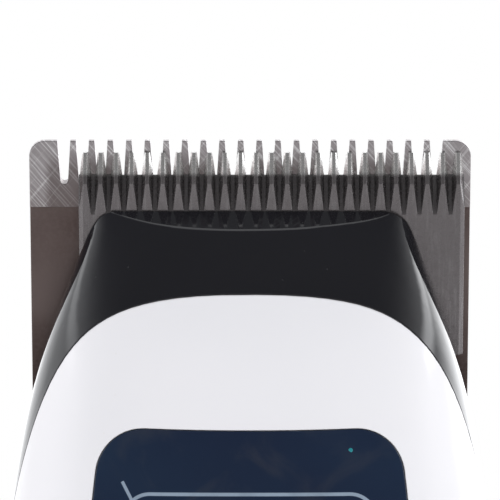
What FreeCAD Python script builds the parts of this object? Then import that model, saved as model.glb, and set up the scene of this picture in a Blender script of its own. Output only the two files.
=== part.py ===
import FreeCAD, Part
import math
import os

# Cordless hand clipper, all sizes in millimetres.
# It stands upright on its flat tail: +Z runs along the handle to the blade tips,
# -Y is the front with the display and +X is to the right of someone facing the front.
# The origin is the centre of the base face.

V = FreeCAD.Vector

# ---------------------------------------------------------------- overall sizes
total_height = 176.0
shell_wall = 2.2
seam_gap = 0.12
running_gap = 0.3
bearing_gap = 0.05

# ---------------------------------------------------------------- blade set
blade_lean = 14.0
tip_y = -2.0
comb_half_width = 22.5
comb_length = 28.3
comb_thickness = 2.0
comb_tip_thickness = 0.7
comb_bevel_length = 5.0
comb_corner_radius = 1.6
comb_gullets = 21
comb_pitch = 1.897
gullet_tip_width = 1.47
gullet_root_width = 0.80
gullet_depth = 4.5
comb_land_length = 6.9
comb_relief_depth = 0.35
comb_rail_start = 16.0
comb_rail_length = 4.0
comb_rail_half_width = 18.0

blade_gap = 0.05
cutter_half_width = 19.65
cutter_setback = 1.13
cutter_end = 22.0
cutter_thickness = 2.0
cutter_tip_thickness = 0.45
cutter_ramp_end = 4.0
cutter_teeth = 25
cutter_pitch = 1.582
groove_floor_width = 0.40
groove_wall_angle = 13.5
groove_end = 7.2
groove_overrun = 0.6
cutter_side_chamfer = 0.45
cutter_stroke = 4.4

# ---------------------------------------------------------------- housing outline
nose_top = 7.0
nose_lip_front = 9.1
nose_lip_y = -5.3
nose_corner_radius = 5.0
nose_corner_half = 12.6
nose_end_wall = 1.8
nose_clearance = 0.25
nose_seam = 46.0
tail_cap_height = 16.0
tail_floor = 2.4
section_power = 2.6

# One row per cross-section: drop below the tips, half width, centre, front and back.
hull_stations = [
    (4.0, 17.0, 0.5, -2.6, 4.0),
    (9.0, 17.4, -0.6, -5.3, 5.5),
    (12.0, 17.65, -0.6, -7.3, 6.0),
    (16.0, 19.2, -0.3, -9.8, 6.8),
    (22.0, 21.2, 0.6, -13.0, 8.0),
    (31.0, 23.2, 1.8, -16.2, 9.3),
    (40.0, 24.5, 1.8, -18.2, 11.0),
    (52.0, 25.1, 1.2, -19.3, 13.2),
    (68.0, 24.8, 0.6, -19.6, 15.0),
    (90.0, 23.4, 0.2, -18.8, 15.8),
    (115.0, 21.6, 0.0, -17.3, 15.4),
    (145.0, 20.8, 0.0, -15.8, 14.3),
    (total_height, 20.4, 0.0, -14.6, 13.0),
]
section_points = 16
section_count = 18
base_rounding = 1.4
lip_rounding = 0.7

# Where the white cover meets the dark shells, seen from the side.
arch_apex_drop = 15.5
arch_apex_y = -9.5
parting_angle = 16.2
parting_bend_drop = 36.5
parting_bend_radius = 57.0

# ---------------------------------------------------------------- display window
window_top = 28.5
window_bottom = 80.0
window_top_half = 14.7
window_mid_half = 16.3
window_bottom_half = 13.6
window_mid_drop = 54.0
window_top_sag = 0.35
window_corner = 4.8
window_thickness = 1.3
window_gap = 0.08
window_ledge = 1.4
display_width = 17.0
display_height = 30.0
display_thickness = 1.6
display_drop = 43.0

# ---------------------------------------------------------------- push button
button_drop = 92.0
button_radius = 6.0
button_proud = 0.5
button_travel = 0.5
button_cap_thickness = 1.6
button_skirt_wall = 1.0
button_flange_radius = 6.9
button_flange_thickness = 0.8
button_rounding = 0.4
button_gap = 0.12
ring_width = 1.1
ring_proud = 0.25
ring_seat_depth = 0.85
switch_width = 6.0
switch_height = 2.4
stem_radius = 1.4
stem_insertion = 0.8

# ---------------------------------------------------------------- main board
board_front_y = -13.6
board_thickness = 1.0
board_half_width = 13.0
board_top = 41.0
board_bottom = 104.0
board_screw_radius = 0.8
board_screw_head = 1.25
board_screw_head_height = 0.45
board_screw_length = 5.0
board_screw_x = 11.7

# ---------------------------------------------------------------- drive
motor_axis_y = -4.0
motor_top = 34.0
motor_length = 28.0
motor_width = 20.4
motor_depth = 15.4
motor_wall = 0.8
magnet_thickness = 1.5
motor_cap_thickness = 2.0
shaft_radius = 1.0
bush_radius = 3.0
bush_length = 2.0
rotor_length = 16.0
cam_radius = 4.0
cam_thickness = 2.6
cam_drop = 27.0
pin_radius = 1.0
pin_play = 0.1
motor_screw_x = 6.2
motor_screw_radius = 0.9
motor_screw_head = 1.7
motor_screw_head_height = 0.8
terminal_x = 6.0
terminal_y = -8.3
terminal_width = 2.2
terminal_thickness = 0.5

# ---------------------------------------------------------------- carrier and spring
carrier_plate = 1.2
carrier_half_width = 11.5
carrier_top = 12.0
carrier_bottom = 21.0
yoke_half_width = 5.0
yoke_top = 17.5
yoke_depth = 10.6
yoke_slot_start = 4.2
yoke_slot_depth = 3.0
rivet_radius = 1.0
rivet_half_spacing = 8.0
rivet_head_radius = 1.7
rivet_head_height = 0.6
rivet_drop = 14.2
bracket_top = 23.2
bracket_depth = 3.9
leaf_thickness = 0.5
leaf_half_width = 10.4
leaf_arm_width = 2.6
leaf_arm_top = 17.5
comb_screw_half_spacing = 14.5
comb_screw_drop = 25.9
comb_screw_radius = 1.25
comb_screw_head_radius = 2.3
comb_screw_head_height = 1.3
comb_hole_play = 0.25
leaf_screw_half_spacing = 8.0
leaf_screw_radius = 0.9
leaf_screw_head = 1.7
leaf_screw_head_height = 0.8
leaf_screw_length = 2.6

# ---------------------------------------------------------------- chassis and power
chassis_back_y = 6.8
chassis_thickness = 1.8
chassis_half_width = 9.6
chassis_top = 32.6
chassis_tail_gap = 2.0
saddle_thickness = 2.4
rib_inner = 10.6
rib_outer = 13.0
rib_height = 4.0
rib_drops = (43.0, 97.0)
chassis_foot_half = 4.0
chassis_foot_height = 6.0
chassis_foot_drops = (60.0, 130.0)
terminal_length = 4.0
battery_radius = 9.2
battery_length = 65.0
battery_axis_y = -3.2
battery_gap = 1.2
lead_room = 2.0
battery_edge_radius = 0.6
battery_button_radius = 2.8
battery_button_height = 0.9
tab_thickness = 0.25
tab_width = 5.0
inlet_width = 8.94
inlet_height = 3.26
inlet_depth = 7.3
inlet_wall = 0.3
inlet_axis_y = -6.0
tongue_width = 6.7
tongue_thickness = 0.7
tongue_length = 5.2
inlet_board_width = 17.0
inlet_board_height = 11.0
inlet_board_thickness = 1.0
lead_radius = 0.55
lead_bend = 1.2
motor_lead_drop = 3.1

# ---------------------------------------------------------------- housing screws
post_radius = 2.7
post_x = 15.4
upper_post_drop = 110.0
lower_post_rise = 10.0
post_reach = 1.5
housing_screw_radius = 1.0
housing_screw_grip = 7.0
housing_head_radius = 2.0
housing_head_height = 1.6
housing_head_depth = 4.0
screw_play = 0.02
pass_play = 0.2

# ---------------------------------------------------------------- derived values
tail_seam = total_height - tail_cap_height
lean = math.radians(blade_lean)
board_back_y = board_front_y + board_thickness
motor_bottom = motor_top + motor_length
battery_top = motor_bottom + motor_cap_thickness + terminal_length + lead_room + saddle_thickness + battery_gap
battery_bottom = battery_top + battery_length
cutter_offset = cutter_stroke / 2.0
cutter_front = blade_gap + cutter_thickness
nose_cut_depth = cutter_front + nose_clearance
chassis_bottom = tail_seam - chassis_tail_gap
post_drops = (upper_post_drop, tail_seam - lower_post_rise)
far = 90.0


def z_at(drop):
    """Height above the base of a point that lies this far below the blade tips."""
    return total_height - drop


def box(x0, x1, y0, y1, z0, z1):
    """Box between two corners."""
    return Part.makeBox(x1 - x0, y1 - y0, z1 - z0, V(x0, y0, z0))


def rod(radius, start, end):
    """Round rod from one point to another."""
    axis = end - start
    return Part.makeCylinder(radius, axis.Length, start, axis)


def prism_x(points, half_width):
    """Outline in Y and Z, given as pairs, drawn out along X to both sides."""
    corners = [V(-half_width, y, z) for y, z in points]
    wire = Part.makePolygon(corners + [corners[0]])
    return Part.Face(wire).extrude(V(2.0 * half_width, 0, 0))


def join(shapes):
    """One solid from touching or crossing shapes."""
    return shapes[0].fuse(shapes[1:]).removeSplitter() if len(shapes) > 1 else shapes[0]


def on_blades(shape):
    """Moves a shape from blade axes to the part: Z up the blade, Y away from the front."""
    placed = shape.copy()
    lean_back = FreeCAD.Placement(V(0, tip_y, total_height), FreeCAD.Rotation(V(1, 0, 0), blade_lean))
    placed.Placement = lean_back.multiply(shape.Placement)
    return placed


def save(name, shape):
    """Writes one node."""
    shape.exportStep("parts/" + name + ".step")
    print(name, len(shape.Solids), round(shape.Volume, 1), shape.isValid())


# ---------------------------------------------------------------- housing body
def profile_curve(column):
    """Smooth run of one column of the cross-sections along the handle."""
    curve = Part.BSplineCurve()
    curve.interpolate(Points=[V(row[0], row[column], 0) for row in hull_stations],
                      Parameters=[row[0] for row in hull_stations])
    return curve


profiles = [profile_curve(column) for column in (1, 2, 3, 4)]


def section_row(drop):
    """Half width, centre, front and back of the housing this far below the tips."""
    return [curve.value(drop).y for curve in profiles]


def section_wire(drop, inset):
    """One closed cross-section of the handle, pulled in by the inset."""
    half, centre, front, back = section_row(drop)
    wide = half - inset
    ahead = centre - front - inset
    behind = back - centre - inset
    points = []
    for step in range(section_points):
        turn = 2.0 * math.pi * step / section_points
        c = math.cos(turn)
        s = math.sin(turn)
        deep = behind if s > 0 else ahead
        x = wide * math.copysign(abs(c) ** (2.0 / section_power), c)
        y = centre + deep * math.copysign(abs(s) ** (2.0 / section_power), s)
        points.append(V(x, y, z_at(drop)))
    curve = Part.BSplineCurve()
    curve.interpolate(points, PeriodicFlag=True)
    return Part.Wire([curve.toShape()])


def hull(inset):
    """The whole handle as one solid, before its nose and tail are cut."""
    first = hull_stations[0][0]
    step = (total_height - first) / (section_count - 1)
    wires = [section_wire(first + k * step, inset) for k in range(section_count)]
    return Part.makeLoft(wires, True, False)


def nose_slope_cut(depth):
    """Everything above the slanted end face of the nose, this far inside it."""
    top_y = tip_y + nose_top * math.tan(lean) - cutter_front / math.cos(lean)
    along = V(0, nose_lip_y - top_y, nose_top - nose_lip_front).normalize()
    outward = V(0, along.z, -along.y)
    start = V(0, top_y, z_at(nose_top)) - outward * depth
    a = start - along * far
    b = start + along * far
    c = b + outward * far
    d = a + outward * far
    return prism_x([(p.y, p.z) for p in (a, b, c, d)], far)


def nose_corner_cuts(inset):
    """Waste outside the two rounded shoulders of the nose."""
    radius = nose_corner_radius - inset
    centre_z = z_at(nose_top + nose_corner_radius)
    cuts = []
    for side in (-1, 1):
        x = side * nose_corner_half
        waste = box(min(x, side * far), max(x, side * far), -far, far, centre_z, centre_z + far)
        cuts.append(waste.cut(rod(radius, V(x, -far, centre_z), V(x, far, centre_z))))
    return cuts


def outer_body():
    """The outside of the housing as one solid with its slanted, rounded nose."""
    body = hull(0.0).cut([nose_slope_cut(0.0)] + nose_corner_cuts(0.0))
    bottom = [e for e in body.Edges if e.BoundBox.ZMax < 0.01]
    body = body.makeFillet(base_rounding, bottom)
    return body.makeFillet(lip_rounding, lip_edges(body))


def lip_edges(body):
    """Edges between the slanted nose face and the front of the housing."""
    found = []
    for edge in body.Edges:
        middle = edge.valueAt((edge.FirstParameter + edge.LastParameter) / 2.0)
        above = middle.z > z_at(nose_lip_front + 0.6)
        if above and middle.y < nose_lip_y * 0.62 and edge.Length > 10.0:
            found.append(edge)
    return found


def inner_body():
    """The space inside the housing."""
    space = hull(shell_wall).cut([nose_slope_cut(nose_end_wall)] + nose_corner_cuts(nose_end_wall))
    return space.cut(box(-far, far, -far, far, -far, tail_floor))


def front_side(shift):
    """Everything in front of the parting line between the white cover and the dark shells."""
    slope = math.radians(parting_angle)
    bend_y = arch_apex_y + (parting_bend_drop - arch_apex_drop) * math.tan(slope)
    start = V(0, bend_y + shift, z_at(parting_bend_drop))
    up = V(0, -math.sin(slope), math.cos(slope)) * far
    centre = start + V(0, -math.cos(slope), -math.sin(slope)) * parting_bend_radius
    half_turn = V(0, math.cos(slope / 2.0), math.sin(slope / 2.0)) * parting_bend_radius
    bend_end = centre + V(0, parting_bend_radius, 0)
    low = V(0, bend_end.y, -far)
    bend = Part.Arc(start, centre + half_turn, bend_end).toShape()
    outline = Part.Wire([
        Part.makeLine(start + up, start),
        bend,
        Part.makeLine(bend_end, low),
        Part.makeLine(low, V(0, -far, -far)),
        Part.makeLine(V(0, -far, -far), V(0, -far, (start + up).z)),
        Part.makeLine(V(0, -far, (start + up).z), start + up),
    ])
    face = Part.Face(outline)
    face.translate(V(-far, 0, 0))
    return face.extrude(V(2.0 * far, 0, 0))


def blade_bay():
    """Room behind the nose for the cutter and the comb, down to the comb's lower edge."""
    low = -(comb_length + nose_clearance)
    return on_blades(box(-far, far, -nose_cut_depth, far, low, far))


def bracket_room():
    """Room for the blade bracket, under the lower part of the comb."""
    low = -(comb_length + nose_clearance)
    return on_blades(box(-far, far, -bracket_depth + comb_relief_depth, comb_relief_depth,
                         low, -bracket_top))


def window_prism(inset):
    """Rounded outline of the display window, drawn through the front of the housing."""
    top = z_at(window_top) - inset
    low = z_at(window_bottom) + inset
    middle = z_at(window_mid_drop)
    a = window_top_half - inset
    b = window_bottom_half - inset
    edges = [
        Part.Arc(V(-a, 0, top), V(0, 0, top - window_top_sag), V(a, 0, top)).toShape(),
        Part.Arc(V(a, 0, top), V(window_mid_half - inset, 0, middle), V(b, 0, low)).toShape(),
        Part.Arc(V(b, 0, low), V(0, 0, low - window_top_sag), V(-b, 0, low)).toShape(),
        Part.Arc(V(-b, 0, low), V(inset - window_mid_half, 0, middle), V(-a, 0, top)).toShape(),
    ]
    solid = Part.Face(Part.Wire(edges)).extrude(V(0, -far, 0))
    upright = [e for e in solid.Edges if abs(e.BoundBox.YLength - far) < 0.1
               and e.BoundBox.XLength < 0.1]
    return solid.makeFillet(window_corner - inset, upright)


def button_front_y():
    """Front of the housing at the push button."""
    return hull_front_y(button_drop)


def hull_front_y(drop):
    """Front of the housing on its middle plane."""
    return section_row(drop)[2]


def screw_posts(body):
    """Posts on the front cover that take the housing screws, trimmed to the outside."""
    posts = []
    for drop in post_drops:
        for side in (-1, 1):
            start = V(side * post_x, 0, z_at(drop))
            posts.append(rod(post_radius, start - V(0, far, 0), start + V(0, post_reach - seam_gap, 0)))
    return [post.common(body) for post in posts]


def rear_posts(body):
    """Hollow posts in the rear shell that the housing screws pass through."""
    posts = []
    for drop in post_drops:
        for side in (-1, 1):
            start = V(side * post_x, post_reach, z_at(drop))
            posts.append(rod(post_radius, start, start + V(0, far, 0)))
    return [post.common(body) for post in posts]


def hull_back_y(drop):
    """Back of the housing at the housing screws."""
    half, centre, front, back = section_row(drop)
    bend = (1.0 - (post_x / half) ** section_power) ** (1.0 / section_power)
    return centre + (back - centre) * bend


def screw_lines():
    """Each housing screw's seat under its head and its drop, one per post."""
    lines = []
    for drop in post_drops:
        seat_y = hull_back_y(drop) - housing_head_depth
        for side in (-1, 1):
            lines.append(V(side * post_x, seat_y, z_at(drop)))
    return lines


def housing_screws():
    """Four pan-head screws that pull the shells together from behind."""
    screws = []
    for seat in screw_lines():
        shank = rod(housing_screw_radius, V(seat.x, -housing_screw_grip + post_reach, seat.z), seat)
        head = rod(housing_head_radius, seat, seat + V(0, housing_head_height, 0))
        slot = cross_recess(seat + V(0, housing_head_height, 0), V(0, 1, 0), housing_head_radius)
        screws.append(shank.fuse(head).cut(slot))
    return Part.makeCompound(screws)


def cross_recess(top, outward, head_radius):
    """Cross-shaped driver recess to cut from a screw head."""
    length = head_radius * 1.1
    width = head_radius * 0.26
    depth = head_radius * 0.42
    arm = box(-length / 2.0, length / 2.0, -width / 2.0, width / 2.0, -depth, depth)
    other = box(-width / 2.0, width / 2.0, -length / 2.0, length / 2.0, -depth, depth)
    cross = arm.fuse(other)
    cross.Placement = FreeCAD.Placement(top, FreeCAD.Rotation(V(0, 0, 1), outward))
    return cross


def front_cover(body, shell):
    """White cover with its window seat, button hole and screw posts."""
    cover = shell.common(front_side(-seam_gap))
    cover = cover.cut(box(-far, far, -far, far, -far, z_at(tail_seam) + seam_gap))
    cover = cover.fuse(screw_posts(body))
    pocket = window_prism(0.0).cut(hull(window_thickness))
    cover = cover.cut([pocket, window_prism(window_ledge)])
    middle = V(0, 0, z_at(button_drop))
    hole = rod(button_radius + button_gap, middle - V(0, far, 0), middle)
    ring = rod(button_radius + button_gap + ring_width, middle - V(0, far, 0),
               middle + V(0, button_front_y() + ring_seat_depth, 0))
    cuts = [hole, ring]
    for seat in screw_lines():
        cuts.append(rod(housing_screw_radius + screw_play,
                        V(seat.x, -housing_screw_grip + post_reach - 0.5, seat.z),
                        V(seat.x, post_reach, seat.z)))
    return cover.cut(cuts)


def nose_shell(shell):
    """Gloss black head housing around the drive, open behind for the blades."""
    head = shell.cut(front_side(0.0))
    head = head.cut(box(-far, far, -far, far, -far, z_at(nose_seam)))
    return head.cut([blade_bay(), bracket_room()])


def rear_shell(body, shell):
    """Back half of the handle, with four posts for the housing screws."""
    half = shell.cut(front_side(0.0))
    half = half.common(box(-far, far, -far, far,
                           z_at(tail_seam) + seam_gap, z_at(nose_seam) - seam_gap))
    half = half.fuse(rear_posts(body))
    cuts = []
    for seat in screw_lines():
        cuts.append(rod(housing_screw_radius + pass_play, V(seat.x, 0, seat.z), seat))
        cuts.append(rod(housing_head_radius + pass_play, seat, seat + V(0, far, 0)))
    return half.cut(cuts)


def inlet_outline(grow, low, high):
    """Stadium-shaped block around the charging inlet's axis."""
    radius = inlet_height / 2.0 + grow
    reach = inlet_width / 2.0 - inlet_height / 2.0
    middle = box(-reach, reach, inlet_axis_y - radius, inlet_axis_y + radius, low, high)
    ends = [rod(radius, V(x, inlet_axis_y, low), V(x, inlet_axis_y, high)) for x in (-reach, reach)]
    return join([middle] + ends)


def tail_cap(shell):
    """Dark cap that closes the tail, with the inlet's slot in its flat base."""
    cap = shell.common(box(-far, far, -far, far, -1.0, z_at(tail_seam)))
    slot = inlet_outline(running_gap / 2.0, -1.0, tail_floor + 1.0)
    return cap.cut(slot)


# ---------------------------------------------------------------- blade set, in blade axes
def comb_gullet(x):
    """Tapered gap between two comb teeth, rounded at its root."""
    half_tip = gullet_tip_width / 2.0
    half_root = gullet_root_width / 2.0
    root = -(gullet_depth - half_root)
    wire = Part.Wire([
        Part.makeLine(V(x - half_tip, 0, 1), V(x - half_root, 0, root)),
        Part.Arc(V(x - half_root, 0, root), V(x, 0, -gullet_depth), V(x + half_root, 0, root)).toShape(),
        Part.makeLine(V(x + half_root, 0, root), V(x + half_tip, 0, 1)),
        Part.makeLine(V(x + half_tip, 0, 1), V(x - half_tip, 0, 1)),
    ])
    face = Part.Face(wire)
    face.translate(V(0, -1, 0))
    return face.extrude(V(0, comb_thickness + 2, 0))


def comb_blade():
    """Fixed comb: toothed ground land, relieved plate, rear rail and two screw holes."""
    w = comb_half_width
    plate = box(-w, w, 0, comb_thickness, -comb_length, 0)
    corners = [e for e in plate.Edges if e.BoundBox.YLength > comb_thickness * 0.9
               and e.BoundBox.ZMax > -0.1 and e.BoundBox.XLength < 0.1]
    plate = plate.makeFillet(comb_corner_radius, corners)
    rail_end = comb_rail_start + comb_rail_length
    cuts = [
        box(-w - 1, w + 1, -1, comb_relief_depth, -comb_rail_start, -comb_land_length),
        box(-w - 1, w + 1, -1, comb_relief_depth, -comb_length - 1, -rail_end),
        prism_x([(comb_tip_thickness, 0.01), (comb_thickness, -comb_bevel_length),
                 (comb_thickness + 1, -comb_bevel_length), (comb_thickness + 1, 0.01)], w + 1),
    ]
    for edge in (-w - 1, comb_rail_half_width):
        cuts.append(box(edge, edge + w + 1 - comb_rail_half_width, -1, comb_relief_depth,
                        -rail_end, -comb_rail_start))
    middle = (comb_gullets - 1) / 2.0
    cuts += [comb_gullet((k - middle) * comb_pitch) for k in range(comb_gullets)]
    for side in (-1, 1):
        x = side * comb_screw_half_spacing
        cuts.append(rod(comb_screw_radius + comb_hole_play,
                        V(x, -1, -comb_screw_drop), V(x, comb_thickness + 1, -comb_screw_drop)))
    return plate.cut(cuts)


def cutter_groove(x):
    """Groove beside a cutter tooth: parallel to the tips' ramp, then running out in the flat face."""
    rise = (cutter_thickness - cutter_tip_thickness) / (cutter_ramp_end - cutter_setback)
    depth = (groove_end - cutter_ramp_end) * rise
    start = cutter_setback - groove_overrun
    length = groove_end + groove_overrun - start
    height = depth + 2.0 * groove_overrun
    half_floor = groove_floor_width / 2.0
    half_top = half_floor + height * math.tan(math.radians(groove_wall_angle))
    floor_y = -blade_gap - cutter_tip_thickness + groove_overrun * rise + depth
    corners = [V(x - half_floor, floor_y, -start), V(x + half_floor, floor_y, -start),
               V(x + half_top, floor_y - height, -start), V(x - half_top, floor_y - height, -start)]
    face = Part.Face(Part.makePolygon(corners + [corners[0]]))
    return face.extrude(V(0, -rise * length, -length))


def cutter_blade():
    """Moving cutter, centred: ramped teeth with run-out grooves in a flat steel plate."""
    w = cutter_half_width
    back = -blade_gap
    front = back - cutter_thickness
    body = prism_x([
        (back, -cutter_setback),
        (back - cutter_tip_thickness, -cutter_setback),
        (front, -cutter_ramp_end),
        (front, -cutter_end),
        (back, -cutter_end),
    ], w)
    chamfer = cutter_side_chamfer
    cuts = []
    for side in (-1, 1):
        corner = V(side * w, front, 0)
        reach = chamfer + 1.0
        triangle = Part.makePolygon([
            corner + V(side, -1, 0), corner + V(-side * reach, -1, 0),
            corner + V(side, reach, 0), corner + V(side, -1, 0)])
        cuts.append(Part.Face(triangle).extrude(V(0, 0, -cutter_end - 1)))
    middle = cutter_teeth / 2.0
    cuts += [cutter_groove((k - middle) * cutter_pitch) for k in range(cutter_teeth + 1)]
    return body.cut(cuts)


def blade_bracket(body):
    """Metal bar under the comb that both blade screws and the leaf spring bite into."""
    bar = body.common(bracket_room())
    cuts = []
    for side in (-1, 1):
        x = side * comb_screw_half_spacing
        cuts.append(rod(comb_screw_radius + screw_play,
                        V(x, -bracket_depth, -comb_screw_drop), V(x, 1, -comb_screw_drop)))
        x = side * leaf_screw_half_spacing
        cuts.append(rod(leaf_screw_radius + screw_play,
                        V(x, -bracket_depth, -comb_screw_drop), V(x, 1, -comb_screw_drop)))
    return bar.cut([on_blades(cut) for cut in cuts])


def comb_screws():
    """Two screws that hold the comb to the bracket from behind."""
    screws = []
    for side in (-1, 1):
        x = side * comb_screw_half_spacing
        seat = V(x, comb_thickness, -comb_screw_drop)
        tip = V(x, -bracket_depth + comb_relief_depth + 0.3, -comb_screw_drop)
        top = seat + V(0, comb_screw_head_height, 0)
        screw = rod(comb_screw_radius, tip, seat).fuse(rod(comb_screw_head_radius, seat, top))
        rim = [e for e in screw.Edges if e.BoundBox.YMin > top.y - 0.01]
        screw = screw.makeFillet(comb_screw_head_height * 0.4, rim)
        screws.append(screw.cut(cross_recess(top, V(0, 1, 0), comb_screw_head_radius)))
    return Part.makeCompound(screws)


def leaf_spring():
    """Flat fork spring that presses the cutter's carrier towards the comb."""
    y = -bracket_depth + comb_relief_depth
    low = -comb_length + 0.1
    top = -bracket_top
    base = box(-leaf_half_width, leaf_half_width, y - leaf_thickness, y, low, top)
    shapes = [base]
    for side in (-1, 1):
        outer = side * leaf_half_width
        inner = side * (leaf_half_width - leaf_arm_width)
        shapes.append(box(min(outer, inner), max(outer, inner), y - leaf_thickness, y,
                          top, -leaf_arm_top))
    holes = []
    for side in (-1, 1):
        x = side * leaf_screw_half_spacing
        holes.append(rod(leaf_screw_radius + screw_play,
                         V(x, y - 1, -comb_screw_drop), V(x, y + 1, -comb_screw_drop)))
    return join(shapes).cut(holes)


def leaf_screws():
    """Two small screws that hold the leaf spring to the bracket."""
    screws = []
    y = -bracket_depth + comb_relief_depth - leaf_thickness
    for side in (-1, 1):
        seat = V(side * leaf_screw_half_spacing, y, -comb_screw_drop)
        tip = seat + V(0, leaf_screw_length, 0)
        top = seat - V(0, leaf_screw_head_height, 0)
        screw = rod(leaf_screw_radius, seat, tip).fuse(rod(leaf_screw_head, top, seat))
        screws.append(screw.cut(cross_recess(top, V(0, -1, 0), leaf_screw_head)))
    return Part.makeCompound(screws)


def cutter_carrier():
    """Plastic carrier riveted to the cutter, with the yoke that the drive pin works in."""
    front = -cutter_front
    face = front - carrier_plate
    plate = box(-carrier_half_width, carrier_half_width, face, front, -carrier_bottom, -carrier_top)
    block = box(-yoke_half_width, yoke_half_width, -yoke_depth, face, -carrier_bottom, -yoke_top)
    slot_half = pin_radius + pin_play
    slot = box(-slot_half, slot_half, -yoke_depth - 1, -yoke_slot_start,
               -carrier_bottom - 1, -carrier_bottom + yoke_slot_depth)
    holes = []
    for side in (-1, 1):
        x = side * rivet_half_spacing
        holes.append(rod(rivet_radius, V(x, face - 1, -rivet_drop), V(x, front + 1, -rivet_drop)))
    return join([plate, block]).cut([slot] + holes)


def carrier_rivets():
    """Two rivets through the carrier into blind holes of the cutter."""
    rivets = []
    face = -cutter_front - carrier_plate
    for side in (-1, 1):
        x = side * rivet_half_spacing
        seat = V(x, face, -rivet_drop)
        shank = rod(rivet_radius, seat, V(x, -cutter_front + rivet_radius, -rivet_drop))
        rivets.append(shank.fuse(rod(rivet_head_radius, seat - V(0, rivet_head_height, 0), seat)))
    return Part.makeCompound(rivets)


def riveted_cutter():
    """The cutter with the two blind holes that take the rivets."""
    holes = []
    for side in (-1, 1):
        x = side * rivet_half_spacing
        holes.append(rod(rivet_radius, V(x, -cutter_front - 1, -rivet_drop),
                         V(x, -cutter_front + rivet_radius, -rivet_drop)))
    return cutter_blade().cut(holes)


# ---------------------------------------------------------------- drive
def motor_block(inset, low, high):
    """Flat-sided round block on the motor's axis."""
    half = motor_depth / 2.0 - inset
    round_part = rod(motor_width / 2.0 - inset, V(0, motor_axis_y, low), V(0, motor_axis_y, high))
    return round_part.common(box(-far, far, motor_axis_y - half, motor_axis_y + half, low, high))


def motor_bush_ends():
    """Lower and upper heights of the two shaft bushes."""
    top = z_at(motor_top) + bush_length * 0.6
    low = z_at(motor_bottom + motor_cap_thickness) + 0.5
    return ((low, low + bush_length), (top - bush_length, top))


def motor_bushes():
    """Two bronze bushes that carry the shaft."""
    bushes = []
    for low, high in motor_bush_ends():
        bush = rod(bush_radius, V(0, motor_axis_y, low), V(0, motor_axis_y, high))
        bore = rod(shaft_radius + bearing_gap, V(0, motor_axis_y, low - 1), V(0, motor_axis_y, high + 1))
        bushes.append(bush.cut(bore))
    return Part.makeCompound(bushes)


def bush_holes():
    """Seats of both bushes."""
    return [rod(bush_radius, V(0, motor_axis_y, low), V(0, motor_axis_y, high))
            for low, high in motor_bush_ends()]


def motor_screw_holes(radius):
    """Two screw holes in the motor's front face."""
    holes = []
    for side in (-1, 1):
        x = side * motor_screw_x
        holes.append(rod(radius, V(x, motor_axis_y, z_at(motor_top) - motor_wall - 1.0),
                         V(x, motor_axis_y, z_at(chassis_top) + 1.0)))
    return holes


def motor_can():
    """Drawn steel can, open below, with its front bush seat."""
    low = z_at(motor_bottom)
    high = z_at(motor_top)
    can = motor_block(0.0, low, high).cut(motor_block(motor_wall, low - 1, high - motor_wall))
    return can.cut(bush_holes() + motor_screw_holes(motor_screw_radius + screw_play))


def motor_end_cap():
    """Plastic cap that closes the can and carries the rear bush."""
    low = z_at(motor_bottom + motor_cap_thickness)
    cap = motor_block(0.0, low, z_at(motor_bottom))
    slots = [block.copy() for block in terminal_blocks()]
    return cap.cut(bush_holes() + slots)


def terminal_blocks():
    """Two flat blades that stand out of the end cap."""
    low = z_at(motor_bottom + motor_cap_thickness + terminal_length)
    blocks = []
    for side in (-1, 1):
        x = side * terminal_x
        blocks.append(box(x - terminal_width / 2.0, x + terminal_width / 2.0,
                          terminal_y - terminal_thickness / 2.0, terminal_y + terminal_thickness / 2.0,
                          low, z_at(motor_bottom + motor_cap_thickness) + 1.0))
    return blocks


def motor_magnets():
    """Two arc magnets on the inside of the can's round sides."""
    low = z_at(motor_bottom) + 2.0
    high = z_at(motor_top) - motor_wall - 2.0
    ring = motor_block(motor_wall + bearing_gap, low, high)
    bore = rod(motor_width / 2.0 - motor_wall - magnet_thickness,
               V(0, motor_axis_y, low - 1), V(0, motor_axis_y, high + 1))
    ring = ring.cut(bore)
    half = motor_depth / 2.0 - motor_wall - 1.5
    return ring.common(box(-far, far, motor_axis_y - half, motor_axis_y + half, low, high))


def rotor_core():
    """Three-pole laminated core on the shaft."""
    middle = z_at((motor_top + motor_bottom) / 2.0)
    low = middle - rotor_length / 2.0
    high = middle + rotor_length / 2.0
    radius = motor_depth / 2.0 - motor_wall - running_gap
    core = rod(radius, V(0, motor_axis_y, low), V(0, motor_axis_y, high))
    cuts = [rod(shaft_radius, V(0, motor_axis_y, low - 1), V(0, motor_axis_y, high + 1))]
    for pole in range(3):
        turn = 2.0 * math.pi * pole / 3.0
        hole = V(radius * 0.62 * math.cos(turn), motor_axis_y + radius * 0.62 * math.sin(turn), low - 1)
        cuts.append(rod(radius * 0.24, hole, hole + V(0, 0, rotor_length + 2)))
        mouth = box(radius * 0.6, radius + 1, -0.7, 0.7, low - 1, high + 1)
        mouth.rotate(V(0, 0, 0), V(0, 0, 1), math.degrees(turn))
        mouth.translate(V(0, motor_axis_y, 0))
        cuts.append(mouth)
    return core.cut(cuts)


def motor_shaft():
    """Steel shaft from the rear bush to the top of the cam."""
    low = motor_bush_ends()[0][0] + 0.3
    return rod(shaft_radius, V(0, motor_axis_y, low), V(0, motor_axis_y, z_at(cam_drop)))


def eccentric_cam():
    """Balanced disc on the shaft with the hole for the drive pin."""
    low = z_at(cam_drop + cam_thickness)
    high = z_at(cam_drop)
    disc = rod(cam_radius, V(0, motor_axis_y, low), V(0, motor_axis_y, high))
    bore = rod(shaft_radius, V(0, motor_axis_y, low - 1), V(0, motor_axis_y, high + 1))
    seat = rod(pin_radius, V(cutter_offset, motor_axis_y, low - 1), V(cutter_offset, motor_axis_y, high + 1))
    return disc.cut([bore, seat])


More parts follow.
